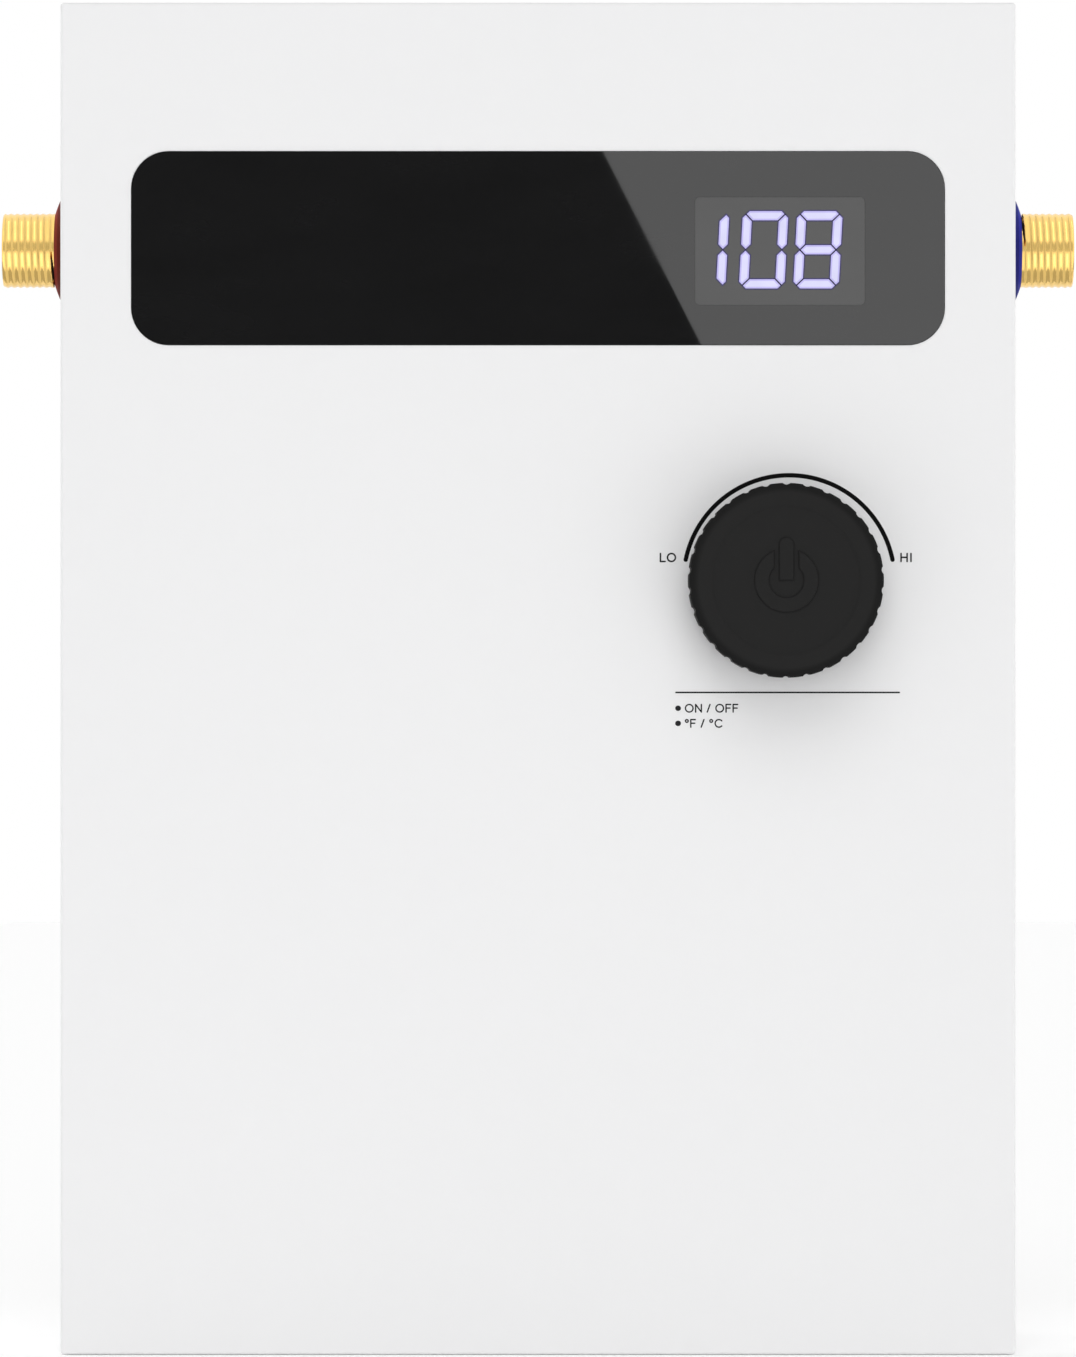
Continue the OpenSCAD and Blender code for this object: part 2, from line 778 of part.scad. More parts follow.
// Outlines of a digit's bars: mitred at the corners and pointed at half height
function top_bar() = [[half_w - digit_corner, half_h], corner + [-mitre, mitre],
    [half_w - digit_stroke - 2 * mitre, half_h - digit_stroke],
    [-half_w + digit_stroke + 2 * mitre, half_h - digit_stroke],
    [mitre - corner[0], corner[1] + mitre], [digit_corner - half_w, half_h]];
function side_bar() = [[half_w, half_h - digit_corner], corner + [mitre, -mitre],
    [half_w - digit_stroke, half_h - digit_stroke - 2 * mitre],
    [half_w - digit_stroke, digit_stroke / 2 + 2 * mitre],
    [half_w - digit_stroke / 2, 2 * mitre], [half_w, digit_stroke / 2 + 2 * mitre]];
function middle_bar() = let (tip = half_w - digit_stroke / 2 - 2 * mitre, wide = digit_stroke / 2)
    [[tip, 0], [tip - wide, wide], [wide - tip, wide], [-tip, 0], [wide - tip, -wide], [tip - wide, -wide]];
function flipped(points, sx, sz) = [for (p = points) [sx * p[0], sz * p[1]]];
function leaning(points) = [for (p = points) [p[0] + tan(digit_lean) * p[1], p[1]]];

// Lit bars of a digit: which of top, upper right, lower right, bottom, lower left, upper left, middle
module digit(lit) {
    bars = [top_bar(), side_bar(), flipped(side_bar(), 1, -1), flipped(top_bar(), 1, -1),
        flipped(side_bar(), -1, -1), flipped(side_bar(), -1, 1), middle_bar()];
    for (i = [0 : len(bars) - 1])
        if (lit[i]) polygon(leaning(bars[i]));
}

module display_segments() {
    digits = [
        [0, [1, 1, 1, 1, 1, 1, 1]],
        [-digit_pitch, [1, 1, 1, 1, 1, 1, 0]],
        [-digit_pitch - first_pitch, [0, 1, 1, 0, 0, 0, 0]]];
    color([0.88, 0.87, 0.98])
        for (d = digits)
            translate([window_x + digit_x + d[0], display_y, window_z + digit_rise])
                rotate([90, 0, 0]) linear_extrude(segment_t) digit(d[1]);
}

module display_board() {
    color("darkgreen")
        difference() {
            plate(display_board_w, display_board_h, board_corner_r, [module_back_y, display_board_y],
                display_board_x, window_z);
            at_display_bosses()
                rod_y(small_screw_r + slip, module_back_y - cut, display_board_y + cut, 0, 0);
        }
}

module display_screws() {
    color("silver")
        at_display_bosses() {
            rod_y(small_screw_r, display_board_y - small_screw_l, display_board_y + cut, 0, 0);
            rod_y(small_head_r, display_board_y, display_board_y + small_head_h, 0, 0);
        }
}

// Half section of the knob: a round-rimmed cap with a hollow face and a hub inside
module knob_profile() {
    difference() {
        union() {
            square([knob_r - knob_rim_r, knob_h]);
            square([knob_r, knob_h - knob_rim_r]);
            translate([knob_r - knob_rim_r, knob_h - knob_rim_r]) circle(knob_rim_r);
        }
        translate([-cut, -knob_rim_r]) square([cut, 2 * knob_h]);
        translate([hub_r, -cut]) square([knob_r - knob_wall - hub_r, knob_roof + cut]);
        translate([-cut, -cut]) square([hub_r + 2 * cut, knob_y - hub_y + cut]);
        polygon([[-cut, dish_floor], [dish_r - dish_slope, dish_floor],
            [dish_r + dish_slope, knob_h + dish_depth], [-cut, knob_h + dish_depth]]);
    }
}

module d_section(grow)
    intersection() {
        circle(shaft_r + grow);
        translate([-shaft_r - cut, -shaft_r - cut])
            square([shaft_r + cut + shaft_flat + grow, 2 * (shaft_r + cut)]);
    }

// Power sign: an open ring with a round-topped bar through its opening
module power_sign() {
    difference() {
        circle(sign_r);
        circle(sign_r - sign_stroke);
        translate([-sign_stroke / 2 - sign_bar_gap, 0]) square([sign_stroke + 2 * sign_bar_gap, sign_top]);
    }
    translate([-sign_stroke / 2, 0]) square([sign_stroke, sign_top - sign_stroke / 2]);
    translate([0, sign_top - sign_stroke / 2]) circle(sign_stroke / 2);
}

module at_knob(y)
    translate([knob_x, y, knob_z]) rotate([90, 0, 0]) children();

module control_knob() {
    notch_place = knob_r + notch_r - notch_depth;
    color([0.14, 0.14, 0.145])
        at_knob(knob_y) {
            difference() {
                rotate_extrude() knob_profile();
                for (k = [0 : knob_notches - 1])
                    rotate([0, 0, 360 * (k + 0.5) / knob_notches])
                        translate([notch_place, 0, -cut]) cylinder(r = notch_r, h = knob_h + 2 * cut);
                translate([0, 0, knob_y - hub_y - cut])
                    linear_extrude(hub_y + cut - shaft_front_y + shaft_fit) d_section(shaft_fit);
            }
            translate([0, 0, dish_floor - embed]) linear_extrude(sign_rise + embed) power_sign();
        }
}

module encoder_shaft() {
    color("silver")
        at_knob(shaft_end_y) linear_extrude(shaft_end_y - shaft_front_y) d_section(0);
}

module shaft_clip() {
    color("dimgray")
        at_knob(housing_back_y + clip_gap + clip_t)
            linear_extrude(clip_t)
                difference() {
                    circle(clip_r);
                    d_section(thread_fit);
                }
}

module encoder_rotor() {
    color("ivory")
        at_knob(rotor_front_y + rotor_d)
            linear_extrude(rotor_d)
                difference() {
                    circle(rotor_r);
                    d_section(shaft_fit);
                }
}

module at_posts()
    for (sx = [-1, 1], sz = [-1, 1])
        translate([knob_x + sx * (housing_w / 2 - post_inset), 0, knob_z + sz * (housing_w / 2 - post_inset)])
            children();

module encoder_housing() {
    color("slategray") {
        difference() {
            union() {
                plate(housing_w, housing_w, post_inset, [cover_in_y, housing_back_y], knob_x, knob_z);
                rod_y(bush_r, bush_end_y, cover_in_y + cut, knob_x, knob_z);
                at_posts() rod_y(post_r, housing_back_y - cut, encoder_board_y, 0, 0);
            }
            rod_y(shaft_r + shaft_fit, bush_end_y - cut, housing_back_y + cut, knob_x, knob_z);
            rod_y(rotor_r + rotor_gap, rotor_front_y - rotor_gap, rotor_front_y + rotor_d + rotor_gap,
                knob_x, knob_z);
        }
    }
}

module encoder_washer() {
    color("silver")
        difference() {
            rod_y(washer_r, front_y - washer_t, front_y, knob_x, knob_z);
            rod_y(bush_r + slip, front_y - washer_t - cut, front_y + cut, knob_x, knob_z);
        }
}

module encoder_nut() {
    nut_y = front_y - washer_t;
    color("silver")
        difference() {
            hex_y(encoder_nut_r, nut_y - encoder_nut_h, nut_y, knob_x, knob_z);
            rod_y(bush_r + thread_fit, nut_y - encoder_nut_h - cut, nut_y + cut, knob_x, knob_z);
        }
}

// Thin sprung dome under the end of the shaft
module snap_dome() {
    ball = (dome_r * dome_r + dome_h * dome_h) / (2 * dome_h);
    color("gold")
        at_knob(encoder_board_y)
            difference() {
                translate([0, 0, dome_h - ball]) sphere(ball);
                translate([0, 0, dome_h - ball]) sphere(ball - dome_t);
                translate([-2 * ball, -2 * ball, -4 * ball]) cube(4 * ball);
            }
}

module encoder_board() {
    color("darkgreen")
        plate(encoder_board_w, encoder_board_w, board_corner_r,
            [encoder_board_y, encoder_board_y + board_t], knob_x, knob_z);
}

// Water fitting: threaded nose outside, flange and plain tail inside
module fitting_shape() {
    nose = fitting_end;
    thread_l = nose - thread_chamfer - thread_start;
    grooves = floor(thread_l / thread_pitch + first_groove - 1);
    flange_z = -sheet_t - gasket_t - flange_t;
    difference() {
        union() {
            translate([0, 0, thread_start]) cylinder(r = thread_r, h = thread_l);
            translate([0, 0, nose - thread_chamfer])
                cylinder(r1 = thread_r, r2 = thread_r - thread_chamfer, h = thread_chamfer);
            translate([0, 0, -fitting_tail]) cylinder(r = tail_r, h = fitting_tail);
            translate([0, 0, flange_z]) cylinder(r = shank_r, h = thread_start - flange_z);
            translate([0, 0, flange_z]) cylinder(r = flange_r, h = flange_t, $fn = hex_fn);
        }
        translate([0, 0, -fitting_tail - cut])
            cylinder(r = fitting_bore_r, h = fitting_tail + nose + 2 * cut);
        for (k = [0 : grooves])
            translate([0, 0, thread_start + (k + first_groove) * thread_pitch])
                rotate_extrude()
                    polygon([[thread_r - groove_depth, 0], [thread_r + groove_depth, groove_w],
                        [thread_r + groove_depth, -groove_w]]);
    }
}

module inlet_fitting() {
    color("goldenrod") at_fitting(1) fitting_shape();
}

module outlet_fitting() {
    color("goldenrod") at_fitting(-1) fitting_shape();
}

// Domed ring on the tray's side wall, with a spigot in the wall's hole
module collar_shape() {
    difference() {
        union() {
            intersection() {
                cylinder(r = collar_r, h = collar_h);
                translate([0, 0, collar_h - collar_sphere_r]) sphere(collar_dome_r);
            }
            translate([0, 0, -sheet_t]) cylinder(r = side_hole_r - spigot_gap, h = sheet_t + embed);
        }
        translate([0, 0, -sheet_t - cut]) cylinder(r = collar_bore_r, h = sheet_t + collar_h + 2 * cut);
    }
}

module inlet_collar() {
    color("mediumblue") at_fitting(1) collar_shape();
}

module outlet_collar() {
    color("firebrick") at_fitting(-1) collar_shape();
}

module fitting_gaskets() {
    color("black")
        for (side = [-1, 1])
            at_fitting(side)
                translate([0, 0, -sheet_t - gasket_t])
                    difference() {
                        cylinder(r = side_hole_r + gasket_lap, h = gasket_t);
                        translate([0, 0, -cut]) cylinder(r = shank_r + slip, h = gasket_t + 2 * cut);
                    }
}

// Hex sleeve over a joint between two pipes of the given radius
module coupling(x, r)
    difference() {
        hex_x(coupling_r, x - coupling_l / 2, x + coupling_l / 2, fit_y, fit_z);
        rod_x(r + thread_fit, x - coupling_l, x + coupling_l, fit_y, fit_z);
    }

module coupling_nuts() {
    color("goldenrod") {
        coupling(outlet_in_x, pipe_r);
        coupling(elbow_out_x - coupling_l / 2, pipe_r);
        difference() {
            hex_x(coupling_r, inlet_in_x, inlet_in_x + coupling_l, fit_y, fit_z);
            rod_x(tail_r + thread_fit, inlet_in_x - cut, inlet_in_x + coupling_l + cut, fit_y, fit_z);
        }
    }
}

module spider(x0, x1, r)
    box([x0, x1], [fit_y - spider_w / 2, fit_y + spider_w / 2], [fit_z - r, fit_z + r]);

module flow_sensor_body() {
    color("whitesmoke")
        difference() {
            union() {
                difference() {
                    rod_x(sensor_r, sensor_in_x, cap_x, fit_y, fit_z);
                    rod_x(sensor_bore_r, sensor_in_x - cut, cap_x + cut, fit_y, fit_z);
                    rod_x(chamber_r, chamber_in_x, cap_x + cut, fit_y, fit_z);
                }
                spider(chamber_in_x, chamber_in_x + spider_t, chamber_r + cut);
            }
            rod_x(axle_r + thread_fit, turbine_in_x - turbine_gap - axle_seat, turbine_in_x, fit_y, fit_z);
        }
}

module flow_sensor_cap() {
    color("lightgray")
        difference() {
            union() {
                difference() {
                    union() {
                        rod_x(sensor_r, cap_x, inlet_in_x, fit_y, fit_z);
                        rod_x(chamber_r - spigot_gap, spider_out_x, cap_x + cut, fit_y, fit_z);
                    }
                    rod_x(sensor_bore_r, spider_out_x - cut, inlet_in_x + cut, fit_y, fit_z);
                }
                spider(spider_out_x, spider_out_x + spider_t, sensor_bore_r + cut);
            }
            rod_x(axle_r + thread_fit, spider_out_x - cut, spider_out_x + axle_seat, fit_y, fit_z);
        }
}

module flow_turbine() {
    color("orange")
        difference() {
            union() {
                rod_x(turbine_hub_r, turbine_in_x, turbine_out_x, fit_y, fit_z);
                intersection() {
                    rod_x(turbine_r, turbine_in_x, turbine_out_x, fit_y, fit_z);
                    for (k = [0 : blades - 1])
                        translate([turbine_mid_x, fit_y, fit_z])
                            rotate([360 * k / blades, 0, 0])
                                rotate([0, 0, blade_tilt])
                                    translate([-blade_l / 2, -blade_t / 2, turbine_hub_r - cut])
                                        cube([blade_l, blade_t, turbine_r]);
                }
            }
            rod_x(axle_r + shaft_fit, turbine_in_x - cut, turbine_out_x + cut, fit_y, fit_z);
        }
}

module turbine_axle() {
    color("silver")
        rod_x(axle_r, turbine_in_x - turbine_gap - axle_seat + thread_fit,
            spider_out_x + axle_seat - thread_fit, fit_y, fit_z);
}

module flow_pickup() {
    color([0.15, 0.15, 0.16])
        difference() {
            box([turbine_mid_x - pickup_w / 2, turbine_mid_x + pickup_w / 2],
                [fit_y - pickup_d / 2, fit_y + pickup_d / 2],
                [fit_z + sensor_r - pickup_h / 2, fit_z + sensor_r + pickup_h / 2]);
            rod_x(sensor_r + thread_fit, sensor_in_x, cap_x, fit_y, fit_z);
        }
}

// Elbow with a cap for a tube's end; side 1 opens to the right, side -1 to the left
module elbow_shape(x, side) {
    difference() {
        union() {
            if (side > 0)
                rod_x(elbow_r, x, x + elbow_arm, fit_y, fit_z);
            if (side < 0) {
                rod_x(elbow_r, x - elbow_arm + coupling_l, x, fit_y, fit_z);
                rod_x(pipe_r, x - elbow_arm, x, fit_y, fit_z);
            }
            box([x - elbow_block, x + elbow_block], [fit_y - elbow_block, fit_y + elbow_block],
                [fit_z - elbow_block, fit_z + elbow_block]);
            rod_z(elbow_r, cap_top_z - cut, fit_z, x, fit_y);
            rod_z(tube_r + cap_wall, cap_top_z - cap_h, cap_top_z, x, fit_y);
            children(0);
        }
        if (side > 0)
            rod_x(elbow_bore_r, x, x + elbow_arm + cut, fit_y, fit_z);
        if (side < 0)
            rod_x(elbow_bore_r, x - elbow_arm - cut, x, fit_y, fit_z);
        rod_z(elbow_bore_r, tube_top_z - cut, fit_z, x, fit_y);
        rod_z(tube_r + tube_fit, cap_top_z - cap_h - cut, tube_top_z, x, fit_y);
        children(1);
    }
}

module inlet_elbow() {
    color("goldenrod")
        elbow_shape(tube_right_x, 1) {
            rod_z(probe_head_r, fit_z, fit_z + boss_top, tube_right_x, fit_y);
            rod_z(probe_r + probe_fit, fit_z, fit_z + boss_top + cut, tube_right_x, fit_y);
        }
}

module outlet_elbow() {
    color("goldenrod")
        elbow_shape(tube_left_x, -1) {
            union() {
                rod_z(cutoff_r, fit_z, cutoff_z, tube_left_x, fit_y);
                rod_x(probe_head_r, tube_left_x, tube_left_x + boss_top, fit_y, fit_z);
            }
            rod_x(probe_r + probe_fit, tube_left_x, tube_left_x + boss_top + cut, fit_y, fit_z);
        }
}

module outlet_pipe() {
    color("peru")
        difference() {
            rod_x(pipe_r, outlet_in_x, elbow_out_x, fit_y, fit_z);
            rod_x(pipe_r - pipe_wall, outlet_in_x - cut, elbow_out_x + cut, fit_y, fit_z);
        }
}

module heater_tube(x)
    difference() {
        rod_z(tube_r, tube_bottom_z, tube_top_z, x, fit_y);
        rod_z(tube_r - tube_wall, tube_bottom_z - cut, tube_top_z + cut, x, fit_y);
    }

module heater_tube_right() {
    color("peru") heater_tube(tube_right_x);
}

module heater_tube_left() {
    color("peru") heater_tube(tube_left_x);
}

module bottom_manifold() {
    half_d = tube_r + cap_wall;
    color("goldenrod")
        difference() {
            box([tube_left_x - tube_r - manifold_wall, tube_right_x + tube_r + manifold_wall],
                [fit_y - half_d, fit_y + half_d], [manifold_bottom_z, manifold_top_z]);
            for (x = [tube_left_x, tube_right_x]) {
                rod_z(tube_r + tube_fit, tube_bottom_z, manifold_top_z + cut, x, fit_y);
                rod_z(plug_r + plug_gap, manifold_bottom_z - cut, tube_bottom_z + cut, x, fit_y);
            }
            rod_x(cross_r, tube_left_x, tube_right_x, fit_y, cross_z);
        }
}

// Folded heating rod with a hex head, insulators and terminals below
module heating_element(x) {
    rod_z(plug_r, head_top_z - cut, manifold_bottom_z + plug_l, x, fit_y);
    hex_z(head_r, head_bottom_z, head_top_z, x, fit_y);
    for (leg_x = [x - leg_pitch / 2, x + leg_pitch / 2]) {
        rod_z(leg_r, manifold_bottom_z, leg_top_z, leg_x, fit_y);
        rod_z(leg_r / 2, leg_top_z - cut, leg_top_z + cut, leg_x, fit_y);
        rod_z(insulator_r, head_bottom_z - insulator_l, head_bottom_z + cut, leg_x, fit_y);
        rod_z(terminal_r, head_bottom_z - terminal_l, head_bottom_z, leg_x, fit_y);
    }
    translate([x, fit_y, leg_top_z])
        rotate([90, 0, 0])
            rotate_extrude(angle = 180) translate([leg_pitch / 2, 0]) circle(leg_r);
}

module heating_element_right() {
    color("darkgray") heating_element(tube_right_x);
}

module heating_element_left() {
    color("darkgray") heating_element(tube_left_x);
}

module element_gaskets() {
    color("black")
        for (x = [tube_left_x, tube_right_x])
            difference() {
                rod_z(seal_r, head_top_z, manifold_bottom_z, x, fit_y);
                rod_z(plug_r + slip, head_top_z - cut, manifold_bottom_z + cut, x, fit_y);
            }
}

module tank_saddles() {
    color("darkslategray")
        for (z = strap_z)
            difference() {
                box([tube_left_x - tube_r - saddle_edge, tube_right_x + tube_r + saddle_edge],
                    [saddle_y, back_in_y], [z - saddle_h / 2, z + saddle_h / 2]);
                for (x = [tube_left_x, tube_right_x])
                    rod_z(tube_r + tube_fit, z - saddle_h, z + saddle_h, x, fit_y);
            }
}

// Bent strap over both tubes, with a foot on each side
module tank_straps() {
    foot_y = back_in_y - strap_t;
    front_y0 = strap_front_y - strap_t;
    color("silver")
        for (z = strap_z) {
            up = [z - saddle_h / 2, z + saddle_h / 2];
            box([strap_left_x - strap_t, strap_right_x + strap_t], [front_y0, strap_front_y], up);
            box([strap_left_x - strap_t, strap_left_x], [front_y0, back_in_y], up);
            box([strap_right_x, strap_right_x + strap_t], [front_y0, back_in_y], up);
            difference() {
                union() {
                    box([strap_left_x - strap_foot, strap_left_x], [foot_y, back_in_y], up);
                    box([strap_right_x, strap_right_x + strap_foot], [foot_y, back_in_y], up);
                }
                for (x = [strap_left_x - strap_foot / 2, strap_right_x + strap_foot / 2])
                    rod_y(foot_stud_r + slip, foot_y - cut, back_in_y + cut, x, z);
            }
        }
}

module strap_nuts() {
    color("silver")
        at_foot_studs()
            rotate([90, 0, 0])
                translate([0, 0, strap_t])
                    difference() {
                        cylinder(r = foot_nut_r, h = foot_nut_h, $fn = hex_fn);
                        translate([0, 0, -cut])
                            cylinder(r = foot_stud_r + thread_fit, h = foot_nut_h + 2 * cut);
                    }
}

module thermal_cutoff() {
    color("saddlebrown")
        difference() {
            rod_z(cutoff_r, cutoff_z, cutoff_z + cutoff_h, tube_left_x, fit_y);
            rod_z(button_stem_r + button_fit, cutoff_z + cutoff_h - button_bore_l, cutoff_z + cutoff_h + cut,
                tube_left_x, fit_y);
        }
}

module reset_button() {
    face_z = cutoff_z + cutoff_h;
    head_z = face_z + button_travel + button_gap;
    color("red") {
        rod_z(button_stem_r, face_z - button_stem_l, head_z + cut, tube_left_x, fit_y);
        rod_z(button_head_r, head_z, head_z + button_head_h, tube_left_x, fit_y);
    }
}

module temperature_sensors() {
    color("khaki") {
        rod_z(probe_r, fit_z + boss_top - probe_l, fit_z + boss_top + cut, tube_right_x, fit_y);
        hex_z(probe_head_r, fit_z + boss_top, fit_z + boss_top + probe_head_h, tube_right_x, fit_y);
        rod_x(probe_r, tube_left_x + boss_top - probe_l, tube_left_x + boss_top + cut, fit_y, fit_z);
        hex_x(probe_head_r, tube_left_x + boss_top, tube_left_x + boss_top + probe_head_h, fit_y, fit_z);
    }
}

module at_board_corners()
    for (x = [board_left_x + board_hole_inset, board_right_x - board_hole_inset],
        z = [board_bottom_z + board_hole_inset, board_top_z - board_hole_inset])
        translate([x, 0, z]) children();

module power_board() {
    color("darkgreen")
        difference() {
            box([board_left_x, board_right_x], [board_front_y, board_back_y], [board_bottom_z, board_top_z]);
            at_board_corners() rod_y(board_screw_r + slip, board_front_y - cut, board_back_y + cut, 0, 0);
        }
}

module board_standoffs() {
    color("gold")
        at_board_corners()
            difference() {
                hex_y(standoff_r, board_back_y, back_in_y, 0, 0);
                rod_y(board_screw_r + thread_fit, board_back_y - cut, board_back_y + board_screw_l, 0, 0);
            }
}

module board_screws() {
    color("silver")
        at_board_corners() {
            rod_y(board_head_r, board_front_y - board_head_h, board_front_y, 0, 0);
            rod_y(board_screw_r, board_front_y - cut, board_front_y + board_screw_l, 0, 0);
        }
}

// Upright box standing on the power board's front, by its middle
module board_part(x, z, w, h, d)
    box([x - w / 2, x + w / 2], [board_front_y - d, board_front_y], [z - h / 2, z + h / 2]);

module relays() {
    color("royalblue")
        for (k = [-1, 0, 1])
            board_part(board_mid_x + k * relay_pitch, relay_z, relay_w, relay_h, part_d);
}

module triac_modules() {
    color("dimgray")
        for (k = [-1, 0, 1])
            board_part(board_mid_x + k * relay_pitch, triac_z, triac_w, triac_h, triac_d);
}

module capacitors() {
    color("midnightblue")
        for (k = [-1, 1])
            rod_y(cap_can_r, board_front_y - cap_can_d, board_front_y,
                board_mid_x + k * relay_pitch, cap_can_z);
}

module board_connectors() {
    color("ivory") {
        for (x = plug_row_x)
            board_part(x, plug_row_z, plug_w, plug_h, plug_d);
        board_part(plug_side_x, plug_side_z, plug_w, plug_h, plug_d);
        box([display_plug_x - plug_w / 2, display_plug_x + plug_w / 2],
            [display_board_y, display_board_y + display_plug_d],
            [window_z - plug_h / 2, window_z + plug_h / 2]);
    }
}

module terminal_block() {
    color("ivory")
        difference() {
            box([block_left_x, block_left_x + block_w], [block_front_y, back_in_y],
                [block_bottom_z, block_top_z]);
            for (x = block_ways) {
                box([x - way_w / 2, x + way_w / 2], [block_front_y - cut, way_y],
                    [block_bottom_z + way_edge, block_top_z - way_edge]);
                for (sz = [-1, 1])
                    rod_y(terminal_screw_r + thread_fit, way_y - cut, way_y + terminal_screw_l,
                        x, block_mid_z + sz * terminal_row);
            }
        }
}

module terminal_screws() {
    color("silver")
        for (x = block_ways, sz = [-1, 1]) {
            z = block_mid_z + sz * terminal_row;
            rod_y(terminal_head_r, way_y - terminal_head_h, way_y, x, z);
            rod_y(terminal_screw_r, way_y - cut, way_y + terminal_screw_l - slip, x, z);
        }
}

module earth_stud() {
    color("goldenrod") {
        rod_y(earth_r, back_in_y - earth_l, back_in_y, earth_x, earth_z);
        hex_y(earth_nut_r, back_in_y - earth_nut_h, back_in_y, earth_x, earth_z);
    }
}

// Four insulated leads from the relays down to the elements' terminals
module element_leads() {
    ends = [tube_left_x - leg_pitch / 2, tube_left_x + leg_pitch / 2,
        tube_right_x - leg_pitch / 2, tube_right_x + leg_pitch / 2];
    relay_y = board_front_y - part_d;
    tip_z = head_bottom_z - terminal_l;
    color("crimson")
        for (k = [0 : len(ends) - 1]) {
            relay_x = board_mid_x + (k < 2 ? relay_pitch : 0);
            x = relay_x + (k % 2 == 0 ? lead_pitch : -lead_pitch);
            low_z = lead_low_z - k * lead_step;
            col_x = lead_col_x - k * lead_step;
            wire([[x, relay_y - wire_touch, relay_z], [x, lead_front_y, relay_z],
                [col_x, lead_front_y, block_top_z], [col_x, lead_front_y, low_z],
                [ends[k], fit_y, low_z], [ends[k], fit_y, tip_z - wire_touch]], lead_r);
        }
}

// Supply leads from the terminal block to the relays, and the earth lead to its stud
module mains_leads() {
    mid_y = board_front_y - plug_d;
    relay_low_z = relay_z - relay_h / 2;
    earth_y = back_in_y - earth_nut_h / 2;
    color("black")
        for (k = [0, 1]) {
            relay_x = board_mid_x + (k - 1) * relay_pitch;
            turn_z = (block_top_z + board_bottom_z) / 2;
            wire([[block_ways[k], mid_y, block_top_z + wire_touch], [block_ways[k], mid_y, turn_z],
                [relay_x, mid_y, turn_z + cable_room], [relay_x, mid_y, relay_low_z - wire_touch]], lead_r);
        }
    color("green")
        wire([[block_left_x + block_w + wire_touch, earth_y, block_mid_z], [earth_x, earth_y, block_mid_z],
            [earth_x, earth_y, earth_z + earth_nut_r * cos(180 / hex_fn) + wire_touch]], lead_r);
}

// Cables from the display, the encoder, the probes and the flow pickup to the power board
module signal_cables() {
    plug_y = board_front_y - plug_d / 2;
    plug_top_z = plug_row_z + plug_h / 2 + wire_touch;
    behind_y = back_in_y - standoff_l;
    side_x = strap_right_x + strap_foot + cable_room;
    encoder_x = knob_x + cable_room;
    gap_x = display_plug_x;
    over_z = fit_z + boss_top + cable_over;
    top_over_z = over_z + cable_room;
    color("slategray") {
        wire([[gap_x, display_board_y + display_plug_d + wire_touch, window_z], [gap_x, behind_y, window_z],
            [plug_row_x[0], plug_y, window_z], [plug_row_x[0], plug_y, plug_top_z]], cable_r);
        wire([[tube_right_x, fit_y, fit_z + boss_top + probe_head_h + wire_touch],
            [tube_right_x, fit_y, over_z], [plug_row_x[1], plug_y, over_z],
            [plug_row_x[1], plug_y, plug_top_z]], cable_r);
        wire([[turbine_mid_x, fit_y, fit_z + sensor_r + pickup_h / 2 + wire_touch],
            [turbine_mid_x, fit_y, top_over_z], [plug_row_x[2], plug_y, top_over_z],
            [plug_row_x[2], plug_y, plug_top_z]], cable_r);
        wire([[encoder_x, encoder_board_y + board_t + wire_touch, knob_z],
            [encoder_x, encoder_board_y + 2 * cable_room, knob_z], [side_x, fit_y, plug_side_z],
            [side_x, behind_y, plug_side_z], [board_right_x + 2 * cable_room, behind_y, plug_side_z],
            [board_right_x + cable_room, plug_y, plug_side_z],
            [plug_side_x + plug_w / 2 + wire_touch, plug_y, plug_side_z]], cable_r);
    }
}

chassis();
front_cover();
cover_screws();
cover_nuts();
cable_grommet();
display_panel();
display_carrier();
carrier_nuts();
display_module();
display_segments();
display_board();
display_screws();
control_knob();
encoder_shaft();
shaft_clip();
encoder_rotor();
encoder_housing();
encoder_washer();
encoder_nut();
snap_dome();
encoder_board();
inlet_fitting();
outlet_fitting();
inlet_collar();
outlet_collar();
fitting_gaskets();
coupling_nuts();
flow_sensor_body();
flow_sensor_cap();
flow_turbine();
turbine_axle();
flow_pickup();
inlet_elbow();
outlet_elbow();
outlet_pipe();
heater_tube_right();
heater_tube_left();
bottom_manifold();
heating_element_right();
heating_element_left();
element_gaskets();
tank_saddles();
tank_straps();
strap_nuts();
thermal_cutoff();
reset_button();
temperature_sensors();
power_board();
board_standoffs();
board_screws();
relays();
triac_modules();
capacitors();
board_connectors();
terminal_block();
terminal_screws();
earth_stud();
element_leads();
mains_leads();
signal_cables();
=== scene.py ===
import json
import math

